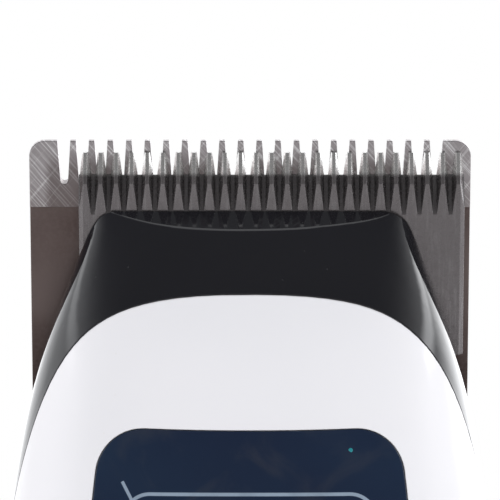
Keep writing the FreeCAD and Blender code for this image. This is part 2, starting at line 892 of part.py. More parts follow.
def drive_pin():
    """Eccentric pin; it ends just under the carrier's yoke."""
    low = z_at(cam_drop + cam_thickness)
    yoke_floor = carrier_bottom * math.cos(lean) + yoke_depth * math.sin(lean)
    return rod(pin_radius, V(cutter_offset, motor_axis_y, low),
               V(cutter_offset, motor_axis_y, z_at(yoke_floor + running_gap)))


def motor_screws():
    """Two screws that hold the motor to the chassis plate."""
    screws = []
    for side in (-1, 1):
        x = side * motor_screw_x
        seat = V(x, motor_axis_y, z_at(chassis_top))
        tip = V(x, motor_axis_y, z_at(motor_top) - motor_wall)
        top = seat + V(0, 0, motor_screw_head_height)
        screw = rod(motor_screw_radius, tip, seat).fuse(rod(motor_screw_head, seat, top))
        screws.append(screw.cut(cross_recess(top, V(0, 0, 1), motor_screw_head)))
    return Part.makeCompound(screws)


# ---------------------------------------------------------------- chassis and power
def rib_spans():
    """Heights of the two U-shaped ribs that carry the main board."""
    return [(z_at(drop + rib_height / 2.0), z_at(drop - rib_height / 2.0)) for drop in rib_drops]


def battery_cut(grow):
    """Room for the battery cell."""
    return rod(battery_radius + grow, V(0, battery_axis_y, z_at(battery_bottom)),
               V(0, battery_axis_y, z_at(battery_top)))


def chassis():
    """Inner frame: spine, motor plate, board ribs, battery end walls and feet."""
    w = chassis_half_width
    spine_front = chassis_back_y - chassis_thickness
    shapes = [box(-w, w, spine_front, chassis_back_y, z_at(chassis_bottom), z_at(chassis_top))]
    shapes.append(box(-w, w, motor_axis_y - motor_depth / 2.0, chassis_back_y,
                      z_at(motor_top), z_at(chassis_top)))
    pad_y = motor_axis_y + motor_depth / 2.0
    for share in (0.2, 0.8):
        drop = motor_top + share * motor_length
        shapes.append(box(-w, w, pad_y, chassis_back_y, z_at(drop + 2.0), z_at(drop - 2.0)))
    for low, high in rib_spans():
        shapes.append(box(-rib_outer, rib_outer, spine_front, chassis_back_y, low, high))
        for side in (-1, 1):
            x0 = min(side * rib_inner, side * rib_outer)
            x1 = max(side * rib_inner, side * rib_outer)
            shapes.append(box(x0, x1, board_back_y, chassis_back_y, low, high))
    wall_front = battery_axis_y - battery_radius + 1.0
    upper = battery_top - battery_gap
    lower = battery_bottom + battery_gap
    for start in (upper - saddle_thickness, lower):
        shapes.append(box(-w, w, wall_front, chassis_back_y, z_at(start + saddle_thickness), z_at(start)))
    for drop in chassis_foot_drops:
        ends = (drop - chassis_foot_height / 2.0, drop + chassis_foot_height / 2.0)
        reach = min(section_row(end)[3] for end in ends) - shell_wall - running_gap
        shapes.append(box(-chassis_foot_half, chassis_foot_half, spine_front, reach,
                          z_at(ends[1]), z_at(ends[0])))
    foot_y = inlet_board_back_y()
    shapes.append(box(-chassis_foot_half, chassis_foot_half, foot_y, chassis_back_y,
                      tail_floor + 4.0, z_at(chassis_bottom) + 2.0))
    cuts = [battery_cut(0.1)]
    cuts += motor_screw_holes(motor_screw_radius + pass_play)
    bush_top = motor_bush_ends()[1][1]
    cuts.append(rod(bush_radius + pass_play, V(0, motor_axis_y, z_at(motor_top) - 1),
                    V(0, motor_axis_y, bush_top + 5)))
    cuts += board_screw_rods(board_screw_radius + screw_play, board_screw_length + 1.0)
    return join(shapes).cut(cuts)


def board_screw_places():
    """Centres of the four board screws on the board's front face."""
    places = []
    for drop in rib_drops:
        for side in (-1, 1):
            places.append(V(side * board_screw_x, board_front_y, z_at(drop)))
    return places


def board_screw_rods(radius, length):
    """Rods on the four board screw axes, from the board's front face backwards."""
    return [rod(radius, place, place + V(0, length, 0)) for place in board_screw_places()]


def board_screws():
    """Four screws that hold the main board to the chassis ribs."""
    screws = []
    for place in board_screw_places():
        top = place - V(0, board_screw_head_height, 0)
        screw = rod(board_screw_radius, place, place + V(0, board_screw_length, 0)).fuse(
            rod(board_screw_head, top, place))
        screws.append(screw.cut(cross_recess(top, V(0, -1, 0), board_screw_head)))
    return Part.makeCompound(screws)


def battery_cell():
    """Round lithium cell with its positive button."""
    low = V(0, battery_axis_y, z_at(battery_bottom))
    high = V(0, battery_axis_y, z_at(battery_top))
    can = rod(battery_radius, low, high)
    rims = [e for e in can.Edges if abs(e.Length - 2 * math.pi * battery_radius) < 0.1]
    can = can.makeFillet(battery_edge_radius, rims)
    return can.fuse(rod(battery_button_radius, high, high + V(0, 0, battery_button_height)))


def battery_tabs():
    """Two nickel strips; the upper one reaches forward to the main board."""
    half = tab_width / 2.0
    button_top = z_at(battery_top) + battery_button_height
    low = z_at(battery_bottom)
    upper = box(-half, half, board_back_y, battery_axis_y + battery_button_radius,
                button_top, button_top + tab_thickness)
    front = battery_axis_y - battery_radius * 0.85
    lower = box(-half, half, front, battery_axis_y + battery_button_radius, low - tab_thickness, low)
    return Part.makeCompound([upper, lower])


def main_board():
    """Circuit board across the front of the chassis."""
    w = board_half_width
    board = box(-w, w, board_front_y, board_back_y, z_at(board_bottom), z_at(board_top))
    return board.cut(board_screw_rods(board_screw_radius + screw_play, board_thickness + 1.0))


def board_chips():
    """Controller, charge chip, coil and capacitors on the front of the main board."""
    y = board_front_y
    parts = [
        box(-9.5, -4.5, y - 1.2, y, z_at(82.0), z_at(77.0)),
        box(3.5, 6.5, y - 1.0, y, z_at(80.0), z_at(77.0)),
        box(7.5, 11.0, y - 1.6, y, z_at(84.5), z_at(81.0)),
    ]
    for k in range(4):
        x = -2.6 + 1.6 * k
        parts.append(box(x, x + 0.8, y - 0.7, y, z_at(84.6), z_at(83.0)))
    return Part.makeCompound(parts)


def display_module():
    """Flat display block on the main board behind the window."""
    half = display_width / 2.0
    return box(-half, half, board_front_y - display_thickness, board_front_y,
               z_at(display_drop + display_height), z_at(display_drop))


def display_gasket():
    """Frame that closes the space between the display and the window."""
    half = display_width / 2.0
    low = z_at(display_drop + display_height)
    high = z_at(display_drop)
    back = board_front_y - display_thickness
    ring = box(-half, half, -far, back, low, high).cut(
        box(-half + 1.4, half - 1.4, -far - 1, back + 1, low + 1.4, high - 1.4))
    return ring.common(hull(window_thickness + bearing_gap))


def display_window(body):
    """Gloss window, flush with the cover."""
    plate = window_prism(window_gap).common(body)
    return plate.cut(hull(window_thickness - bearing_gap))


# ---------------------------------------------------------------- push button
def button_axis(y0, y1, radius):
    """Rod on the button's axis between two depths."""
    return rod(radius, V(0, y0, z_at(button_drop)), V(0, y1, z_at(button_drop)))


def power_button():
    """Round cap with a skirt and a retaining flange behind the cover."""
    front = button_front_y() - button_proud
    cap_back = front + button_cap_thickness
    cap = button_axis(front, cap_back, button_radius)
    rim = [e for e in cap.Edges if e.BoundBox.YMax < front + 0.01]
    cap = cap.makeFillet(button_rounding, rim)
    flange_front = button_front_y() + shell_wall + button_gap + 0.6
    flange_back = flange_front + button_flange_thickness
    skirt = button_axis(cap_back, flange_back, button_radius)
    flange = button_axis(flange_front, flange_back, button_flange_radius)
    bore = button_axis(cap_back, flange_back + 1, button_radius - button_skirt_wall)
    return cap.fuse([skirt.cut(bore), flange.cut(bore)]).removeSplitter()


def button_ring():
    """Bright ring pressed into the cover around the button."""
    y = button_front_y()
    outer = button_radius + button_gap + ring_width - screw_play
    ring = button_axis(y - ring_proud, y + ring_seat_depth, outer)
    ring = ring.cut(button_axis(y - 5, y + 5, button_radius + button_gap))
    rims = [e for e in ring.Edges if e.BoundBox.YMax < y - ring_proud + 0.01]
    return ring.makeFillet(ring_proud * 0.8, rims)


def switch_stem():
    """Stem of the switch, pushed by the cap."""
    start = button_front_y() - button_proud + button_cap_thickness
    return button_axis(start, board_front_y - switch_height + stem_insertion, stem_radius)


def tact_switch():
    """Switch body on the board with the bore that the stem slides in."""
    half = switch_width / 2.0
    front = board_front_y - switch_height
    block = box(-half, half, front, board_front_y, z_at(button_drop) - half, z_at(button_drop) + half)
    depth = stem_insertion + button_travel + 0.3
    return block.cut(button_axis(front - 1, front + depth, stem_radius + bearing_gap))


# ---------------------------------------------------------------- charging inlet
def inlet_board_front_y():
    """Front of the small board behind the inlet."""
    return inlet_axis_y + inlet_height / 2.0


def inlet_board_back_y():
    """Back of the small board behind the inlet."""
    return inlet_board_front_y() + inlet_board_thickness


def charging_inlet():
    """Metal shell of the charging inlet, open at the base."""
    low = 0.6
    shell = inlet_outline(0.0, low, low + inlet_depth)
    return shell.cut(inlet_outline(-inlet_wall, low - 1, low + inlet_depth - inlet_wall))


def inlet_tongue():
    """Contact tongue inside the inlet."""
    top = 0.6 + inlet_depth - inlet_wall
    half = tongue_width / 2.0
    return box(-half, half, inlet_axis_y - tongue_thickness / 2.0, inlet_axis_y + tongue_thickness / 2.0,
               top - tongue_length, top)


def inlet_board():
    """Small upright board that carries the inlet."""
    half = inlet_board_width / 2.0
    low = tail_floor + 0.2
    return box(-half, half, inlet_board_front_y(), inlet_board_back_y(), low, low + inlet_board_height)


# ---------------------------------------------------------------- leads
def lead(points, bend):
    """Insulated lead along straight runs joined by tangent arcs."""
    edges = []
    start = points[0]
    for before, corner, after in zip(points, points[1:], points[2:]):
        back = (before - corner).normalize()
        on = (after - corner).normalize()
        half_angle = back.getAngle(on) / 2.0
        reach = bend / math.tan(half_angle)
        a = corner + back * reach
        b = corner + on * reach
        centre = corner + (back + on).normalize() * (bend / math.sin(half_angle))
        middle = centre + (corner - centre).normalize() * bend
        edges.append(Part.makeLine(start, a))
        edges.append(Part.Arc(a, middle, b).toShape())
        start = b
    edges.append(Part.makeLine(start, points[-1]))
    path = Part.Wire(edges)
    first = points[1] - points[0]
    ring = Part.Wire([Part.makeCircle(lead_radius, points[0], first)])
    return path.makePipeShell([ring], True, False)


def motor_leads():
    """Two leads from the motor's blades to the back of the main board."""
    leads = []
    z = z_at(motor_bottom + motor_cap_thickness + terminal_length / 2.0)
    for side in (-1, 1):
        x = side * terminal_x
        front = terminal_y - terminal_thickness / 2.0
        turn_y = (front + board_back_y) / 2.0
        leads.append(lead([V(x, front, z), V(x, turn_y, z), V(x, turn_y, z - motor_lead_drop),
                           V(x, board_back_y, z - motor_lead_drop)], 1.0))
    return Part.makeCompound(leads)


def battery_lead():
    """Lead from the cell's lower tab up to the main board."""
    x = -(battery_radius - 0.6)
    y = battery_axis_y - battery_radius * 0.68
    low = z_at(battery_bottom) - lead_radius - 0.05
    return lead([V(-tab_width / 2.0, y, low), V(x, y, low), V(x, y, z_at(board_bottom) + 2.0),
                 V(x, board_back_y, z_at(board_bottom) + 2.0)], 1.2)


def charge_leads():
    """Two leads from the inlet board to the main board."""
    leads = []
    top = tail_floor + 0.2 + inlet_board_height
    y = (inlet_board_front_y() + inlet_board_back_y()) / 2.0
    x = battery_radius + lead_radius + 1.4
    for k in range(2):
        start_x = 5.2 + 2.0 * k
        up_y = -4.0 - 3.0 * k
        high = z_at(board_bottom) + 1.2 + 1.6 * k
        leads.append(lead([V(start_x, y, top), V(start_x, y, top + 4.0 - 1.4 * k),
                           V(x, up_y, top + 9.0 - 1.4 * k), V(x, up_y, high),
                           V(x, board_back_y, high)], 1.2))
    return Part.makeCompound(leads)


def main():
    """Builds every node."""
    os.makedirs("parts", exist_ok=True)
    body = outer_body()
    shell = body.cut(inner_body())
    slide = V(cutter_offset, 0, 0)
    cutter = riveted_cutter()
    carrier = cutter_carrier()
    rivets = carrier_rivets()
    for moving in (cutter, carrier, rivets):
        moving.translate(slide)
    save("comb_blade", on_blades(comb_blade()))
    save("comb_screws", on_blades(comb_screws()))
    save("cutter_blade", on_blades(cutter))
    save("cutter_carrier", on_blades(carrier))
    save("carrier_rivets", on_blades(rivets))
    save("blade_bracket", blade_bracket(body))
    save("leaf_spring", on_blades(leaf_spring()))
    save("leaf_spring_screws", on_blades(leaf_screws()))
    save("nose_shell", nose_shell(shell))
    save("front_cover", front_cover(body, shell))
    save("rear_shell", rear_shell(body, shell))
    save("tail_cap", tail_cap(shell))
    save("housing_screws", housing_screws())
    save("display_window", display_window(body))
    save("display_gasket", display_gasket())
    save("display_module", display_module())
    save("power_button", power_button())
    save("button_ring", button_ring())
    save("switch_stem", switch_stem())
    save("tact_switch", tact_switch())
    save("main_board", main_board())
    save("board_chips", board_chips())
    save("board_screws", board_screws())
    save("chassis", chassis())
    save("motor_can", motor_can())
    save("motor_end_cap", motor_end_cap())
    save("motor_terminals", Part.makeCompound(terminal_blocks()))
    save("motor_bushes", motor_bushes())
    save("motor_magnets", motor_magnets())
    save("motor_screws", motor_screws())
    save("rotor_core", rotor_core())
    save("motor_shaft", motor_shaft())
    save("eccentric_cam", eccentric_cam())
    save("drive_pin", drive_pin())
    save("battery_cell", battery_cell())
    save("battery_tabs", battery_tabs())
    save("charging_inlet", charging_inlet())
    save("inlet_tongue", inlet_tongue())
    save("inlet_board", inlet_board())
    save("motor_leads", motor_leads())
    save("battery_lead", battery_lead())
    save("charge_leads", charge_leads())


main()
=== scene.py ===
import logging
import math
from dataclasses import dataclass, field
from enum import Enum

import bmesh
import bpy
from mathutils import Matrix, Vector


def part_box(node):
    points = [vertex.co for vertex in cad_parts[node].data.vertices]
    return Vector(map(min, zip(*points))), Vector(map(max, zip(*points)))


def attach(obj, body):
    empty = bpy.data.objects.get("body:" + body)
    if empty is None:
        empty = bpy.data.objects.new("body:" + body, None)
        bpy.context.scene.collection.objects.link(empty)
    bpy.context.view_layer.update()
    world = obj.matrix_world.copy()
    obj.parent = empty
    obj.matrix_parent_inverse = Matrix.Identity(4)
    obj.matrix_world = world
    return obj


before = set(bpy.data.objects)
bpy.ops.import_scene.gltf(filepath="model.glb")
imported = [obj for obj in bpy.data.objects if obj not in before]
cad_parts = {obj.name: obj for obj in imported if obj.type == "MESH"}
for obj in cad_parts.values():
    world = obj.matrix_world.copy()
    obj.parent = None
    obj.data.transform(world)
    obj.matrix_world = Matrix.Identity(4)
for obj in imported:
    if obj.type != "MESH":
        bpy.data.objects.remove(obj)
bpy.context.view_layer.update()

LOG = logging.getLogger("clipper")
Colour = tuple[float, float, float]


# ---------------------------------------------------------------- node tools
class Sheet:
    """A node tree with short ways to add and join its nodes."""

    def __init__(self, tree: bpy.types.NodeTree) -> None:
        """Keeps the tree to build in.

        Args:
            tree: The material's, world's or group's node tree.
        """
        self.tree = tree

    def add(self, kind: str, **settings: object) -> bpy.types.Node:
        """Adds a node and sets its properties.

        Args:
            kind: Blender's node type, without the ShaderNode prefix.
            settings: Properties of the node by name.

        Returns:
            The new node.
        """
        node = self.tree.nodes.new("ShaderNode" + kind)
        for name, value in settings.items():
            setattr(node, name, value)
        return node

    def join(self, start: bpy.types.NodeSocket, end: bpy.types.NodeSocket) -> None:
        """Links an output to an input."""
        self.tree.links.new(start, end)

    def sums(self, operation: str, first: object, second: object = None,
             clamp: bool = False) -> bpy.types.NodeSocket:
        """Adds a Math node.

        Args:
            operation: Name of the Math operation.
            first: A socket or a plain number.
            second: A socket, a plain number or nothing.
            clamp: Whether the result is kept between 0 and 1.

        Returns:
            The result's socket.
        """
        node = self.add("Math", operation=operation, use_clamp=clamp)
        for place, value in enumerate((first, second)):
            if isinstance(value, bpy.types.NodeSocket):
                self.join(value, node.inputs[place])
            elif value is not None:
                node.inputs[place].default_value = value
        return node.outputs[0]

    def spread(self, value: bpy.types.NodeSocket, low: float, high: float,
               to_low: float = 0.0, to_high: float = 1.0) -> bpy.types.NodeSocket:
        """Maps a value's range to another, smoothly and clamped.

        Args:
            value: The socket to map.
            low: Value that becomes to_low.
            high: Value that becomes to_high.
            to_low: Result at low.
            to_high: Result at high.

        Returns:
            The mapped socket.
        """
        node = self.add("MapRange", interpolation_type="SMOOTHSTEP")
        self.join(value, node.inputs["Value"])
        node.inputs["From Min"].default_value = low
        node.inputs["From Max"].default_value = high
        node.inputs["To Min"].default_value = to_low
        node.inputs["To Max"].default_value = to_high
        return node.outputs["Result"]

    def blend(self, share: object, first: object, second: object,
              mode: str = "MIX") -> bpy.types.NodeSocket:
        """Mixes two colours.

        Args:
            share: Socket or number, how much of the second.
            first: Socket or colour.
            second: Socket or colour.
            mode: Blender's blend type.

        Returns:
            The mixed colour's socket.
        """
        node = self.add("Mix", data_type="RGBA", blend_type=mode)
        factor, a, b = node.inputs[0], node.inputs[6], node.inputs[7]
        for socket, value in ((factor, share), (a, first), (b, second)):
            if isinstance(value, bpy.types.NodeSocket):
                self.join(value, socket)
            elif isinstance(value, tuple):
                socket.default_value = (*value, 1.0)
            else:
                socket.default_value = value
        return node.outputs[2]


def open_group(name: str, inputs: dict[str, tuple[str, object]],
               outputs: dict[str, str]) -> tuple[Sheet, bpy.types.Node, bpy.types.Node]:
    """Starts a shader node group.

    Args:
        name: The group's name.
        inputs: Socket kind and default by name.
        outputs: Socket kind by name.

    Returns:
        The sheet, its input node and its output node.
    """
    tree = bpy.data.node_groups.new(name, "ShaderNodeTree")
    for label, (kind, default) in inputs.items():
        socket = tree.interface.new_socket(label, in_out="INPUT", socket_type="NodeSocket" + kind)
        if default is not None:
            socket.default_value = default
    for label, kind in outputs.items():
        tree.interface.new_socket(label, in_out="OUTPUT", socket_type="NodeSocket" + kind)
    start = tree.nodes.new("NodeGroupInput")
    end = tree.nodes.new("NodeGroupOutput")
    return Sheet(tree), start, end


# ---------------------------------------------------------------- shared effects
class Effects:
    """Shader node groups that more than one finish uses."""

    def __init__(self) -> None:
        """Builds every group once."""
        self.scratches = self._scratches()
        self.grain = self._grain()
        self.smudges = self._smudges()
        self.edges = self._edges()

    @staticmethod
    def _scratches() -> bpy.types.NodeTree:
        """Fine straight marks in one direction, as a grinding wheel leaves them.

        Returns:
            The group, with Lines from 0 to 1 and a signed Height.
        """
        sheet, start, end = open_group(
            "grinding_lines",
            {"Vector": ("Vector", None), "Turn": ("Vector", (0.0, 0.0, 0.0)),
             "Across": ("Float", 9000.0), "Along": ("Float", 350.0)},
            {"Lines": "Float", "Height": "Float"})
        turned = sheet.add("VectorRotate", rotation_type="EULER_XYZ")
        sheet.join(start.outputs["Vector"], turned.inputs["Vector"])
        sheet.join(start.outputs["Turn"], turned.inputs["Rotation"])
        size = sheet.add("CombineXYZ")
        sheet.join(start.outputs["Across"], size.inputs["X"])
        sheet.join(start.outputs["Along"], size.inputs["Y"])
        sheet.join(start.outputs["Along"], size.inputs["Z"])
        scaled = sheet.add("VectorMath", operation="MULTIPLY")
        sheet.join(turned.outputs[0], scaled.inputs[0])
        sheet.join(size.outputs[0], scaled.inputs[1])
        noise = sheet.add("TexNoise", noise_dimensions="3D")
        noise.inputs["Scale"].default_value = 1.0
        noise.inputs["Detail"].default_value = 3.0
        noise.inputs["Roughness"].default_value = 0.7
        sheet.join(scaled.outputs[0], noise.inputs["Vector"])
        lines = sheet.spread(noise.outputs["Fac"], 0.50, 0.63)
        sheet.join(lines, end.inputs["Lines"])
        sheet.join(noise.outputs["Fac"], end.inputs["Height"])
        return sheet.tree

    @staticmethod
    def _grain() -> bpy.types.NodeTree:
        """Fine random grain of a moulded or cast surface.

        Returns:
            The group, with a Height and a slow Drift from 0 to 1.
        """
        sheet, start, end = open_group(
            "surface_grain",
            {"Vector": ("Vector", None), "Fine": ("Float", 2500.0), "Slow": ("Float", 60.0)},
            {"Height": "Float", "Drift": "Float"})
        fine = sheet.add("TexNoise")
        fine.inputs["Detail"].default_value = 4.0
        fine.inputs["Roughness"].default_value = 0.6
        sheet.join(start.outputs["Vector"], fine.inputs["Vector"])
        sheet.join(start.outputs["Fine"], fine.inputs["Scale"])
        slow = sheet.add("TexNoise")
        slow.inputs["Detail"].default_value = 2.0
        sheet.join(start.outputs["Vector"], slow.inputs["Vector"])
        sheet.join(start.outputs["Slow"], slow.inputs["Scale"])
        sheet.join(fine.outputs["Fac"], end.inputs["Height"])
        sheet.join(sheet.spread(slow.outputs["Fac"], 0.3, 0.7), end.inputs["Drift"])
        return sheet.tree

    @staticmethod
    def _smudges() -> bpy.types.NodeTree:
        """Faint wiping marks and specks of dust on gloss surfaces.

        Returns:
            The group, with Smear and Specks from 0 to 1.
        """
        sheet, start, end = open_group(
            "smudges_and_dust",
            {"Vector": ("Vector", None), "Smear Scale": ("Float", 90.0),
             "Speck Scale": ("Float", 900.0), "Speck Size": ("Float", 0.09)},
            {"Smear": "Float", "Specks": "Float"})
        smear = sheet.add("TexNoise")
        smear.inputs["Detail"].default_value = 5.0
        smear.inputs["Distortion"].default_value = 1.4
        sheet.join(start.outputs["Vector"], smear.inputs["Vector"])
        sheet.join(start.outputs["Smear Scale"], smear.inputs["Scale"])
        sheet.join(sheet.spread(smear.outputs["Fac"], 0.48, 0.72), end.inputs["Smear"])
        cells = sheet.add("TexVoronoi", feature="F1")
        sheet.join(start.outputs["Vector"], cells.inputs["Vector"])
        sheet.join(start.outputs["Speck Scale"], cells.inputs["Scale"])
        near = sheet.sums("LESS_THAN", cells.outputs["Distance"], start.outputs["Speck Size"])
        pick = sheet.add("SeparateColor")
        sheet.join(cells.outputs["Color"], pick.inputs["Color"])
        rare = sheet.sums("GREATER_THAN", pick.outputs["Red"], 0.93)
        sheet.join(sheet.sums("MULTIPLY", near, rare), end.inputs["Specks"])
        return sheet.tree

    @staticmethod
    def _edges() -> bpy.types.NodeTree:
        """Where an edge turns, found by comparing a rounded normal with the real one.

        Returns:
            The group, with a Mask from 0 on flats to 1 on edges and a rounded Normal.
        """
        sheet, start, end = open_group(
            "edge_wear_and_highlight", {"Radius": ("Float", 0.00012)}, {"Mask": "Float", "Normal": "Vector"})
        bevel = sheet.add("Bevel", samples=8)
        sheet.join(start.outputs["Radius"], bevel.inputs["Radius"])
        real = sheet.add("NewGeometry")
        dot = sheet.add("VectorMath", operation="DOT_PRODUCT")
        sheet.join(bevel.outputs["Normal"], dot.inputs[0])
        sheet.join(real.outputs["Normal"], dot.inputs[1])
        turned = sheet.sums("SUBTRACT", 1.0, dot.outputs["Value"])
        sheet.join(sheet.spread(turned, 0.02, 0.25), end.inputs["Mask"])
        sheet.join(bevel.outputs["Normal"], end.inputs["Normal"])
        return sheet.tree


class Shop:
    """Starts materials and keeps what every finish needs."""

    def __init__(self, effects: Effects) -> None:
        """Keeps the shared groups.

        Args:
            effects: The node groups.
        """
        self.effects = effects

    def start(self, name: str) -> tuple[bpy.types.Material, Sheet, bpy.types.Node, bpy.types.NodeSocket]:
        """Starts a material with a Principled shader.

        Args:
            name: The material's name.

        Returns:
            The material, its sheet, its shader and the Object coordinates.
        """
        material = bpy.data.materials.new(name)
        material.use_nodes = True
        sheet = Sheet(material.node_tree)
        shader = material.node_tree.nodes["Principled BSDF"]
        place = sheet.add("TexCoord").outputs["Object"]
        return material, sheet, shader, place

    @staticmethod
    def use(sheet: Sheet, group: bpy.types.NodeTree, place: bpy.types.NodeSocket | None,
            **values: object) -> bpy.types.Node:
        """Places a shared group in a material.

        Args:
            sheet: The material's sheet.
            group: The shared group.
            place: Coordinates for its Vector input, if it has one.
            values: Other inputs by name, with underscores for spaces.

        Returns:
            The group's node.
        """
        node = sheet.tree.nodes.new("ShaderNodeGroup")
        node.node_tree = group
        if place is not None:
            sheet.join(place, node.inputs["Vector"])
        for name, value in values.items():
            node.inputs[name.replace("_", " ")].default_value = value
        return node

    @staticmethod
    def bump(sheet: Sheet, shader: bpy.types.Node, height: bpy.types.NodeSocket,
             depth: float, normal: bpy.types.NodeSocket | None = None) -> None:
        """Feeds a height to the shader's normal.

        Args:
            sheet: The material's sheet.
            shader: The Principled shader.
            height: Height from 0 to 1.
            depth: Its real depth in metres.
            normal: A normal to start from.
        """
        node = sheet.add("Bump")
        node.inputs["Strength"].default_value = 1.0
        node.inputs["Distance"].default_value = depth
        sheet.join(height, node.inputs["Height"])
        if normal is not None:
            sheet.join(normal, node.inputs["Normal"])
        sheet.join(node.outputs["Normal"], shader.inputs["Normal"])


# ---------------------------------------------------------------- finishes
class Marks(Enum):
    """Which way a steel part's grinding marks run, as a turn about Y in degrees."""

    UPRIGHT = 0.0
    LEVEL = 90.0


@dataclass(frozen=True)
class Steel:
    """Bare steel with grinding marks, brighter along its edges from wear and a painted highlight."""

    name: str
    colour: Colour
    bright: Colour
    roughness: float = 0.34
    marks: Marks = Marks.UPRIGHT
    across: float = 9000.0
    along: float = 300.0
    mark_depth: float = 0.000004
    mark_share: float = 0.5
    edge_share: float = 0.7
    metallic: float = 1.0
    ground_line: float | None = None
    ground_colour: Colour = (0.5, 0.5, 0.5)
    flank_highlight_colour: Colour = (0.9, 0.9, 0.88)
    ground_fade: float = 0.0003
    stain_and_shade_share: float = 0.35
    stain_depth: float = 0.62

    def _ground_tips(self, sheet: Sheet, place: bpy.types.NodeSocket,
                     body: bpy.types.NodeSocket) -> bpy.types.NodeSocket:
        """Lightens what is freshly ground above a height, and paints a highlight on the teeth's flanks
        that face sideways.

        Args:
            sheet: The material's sheet.
            place: Object coordinates.
            body: The colour so far.

        Returns:
            The new colour.
        """
        height = sheet.add("SeparateXYZ")
        sheet.join(place, height.inputs[0])
        ground = sheet.spread(height.outputs["Z"], self.ground_line - self.ground_fade,
                              self.ground_line + self.ground_fade)
        body = sheet.blend(ground, body, self.ground_colour)
        # Painted highlight: ground faces that look sideways, the teeth's flanks, take a paler colour.
        facing = sheet.add("SeparateXYZ")
        sheet.join(sheet.add("NewGeometry").outputs["Normal"], facing.inputs[0])
        flank_highlight = sheet.spread(sheet.sums("ABSOLUTE", facing.outputs["X"]), 0.5, 0.8)
        return sheet.blend(sheet.sums("MULTIPLY", ground, flank_highlight), body, self.flank_highlight_colour)

    def build(self, shop: Shop) -> bpy.types.Material:
        """Makes the material.

        Args:
            shop: Shared effects.

        Returns:
            The material.
        """
        material, sheet, shader, place = shop.start(self.name)
        turn = (0.0, math.radians(self.marks.value), 0.0)
        lines = shop.use(sheet, shop.effects.scratches, place,
                         Turn=turn, Across=self.across, Along=self.along)
        grain = shop.use(sheet, shop.effects.grain, place, Fine=1800.0, Slow=110.0)
        edges = shop.use(sheet, shop.effects.edges, None)
        marked = sheet.sums("MULTIPLY", lines.outputs["Lines"], self.mark_share)
        body = sheet.blend(marked, self.colour, self.bright)
        drift = sheet.sums("MULTIPLY", grain.outputs["Drift"], self.stain_and_shade_share)
        darker = tuple(value * self.stain_depth for value in self.colour)
        body = sheet.blend(drift, body, darker)
        if self.ground_line is not None:
            body = self._ground_tips(sheet, place, body)
        # Edges lighten towards the bright colour: partly wear, partly a painted highlight.
        tone_shift = sheet.sums("MULTIPLY", edges.outputs["Mask"], self.edge_share)
        body = sheet.blend(tone_shift, body, self.bright)
        sheet.join(body, shader.inputs["Base Color"])
        shader.inputs["Metallic"].default_value = self.metallic
        rough = sheet.spread(grain.outputs["Height"], 0.3, 0.7,
                             self.roughness * 0.8, self.roughness * 1.25)
        sheet.join(rough, shader.inputs["Roughness"])
        shop.bump(sheet, shader, lines.outputs["Height"], self.mark_depth,
                  edges.outputs["Normal"])
        return material


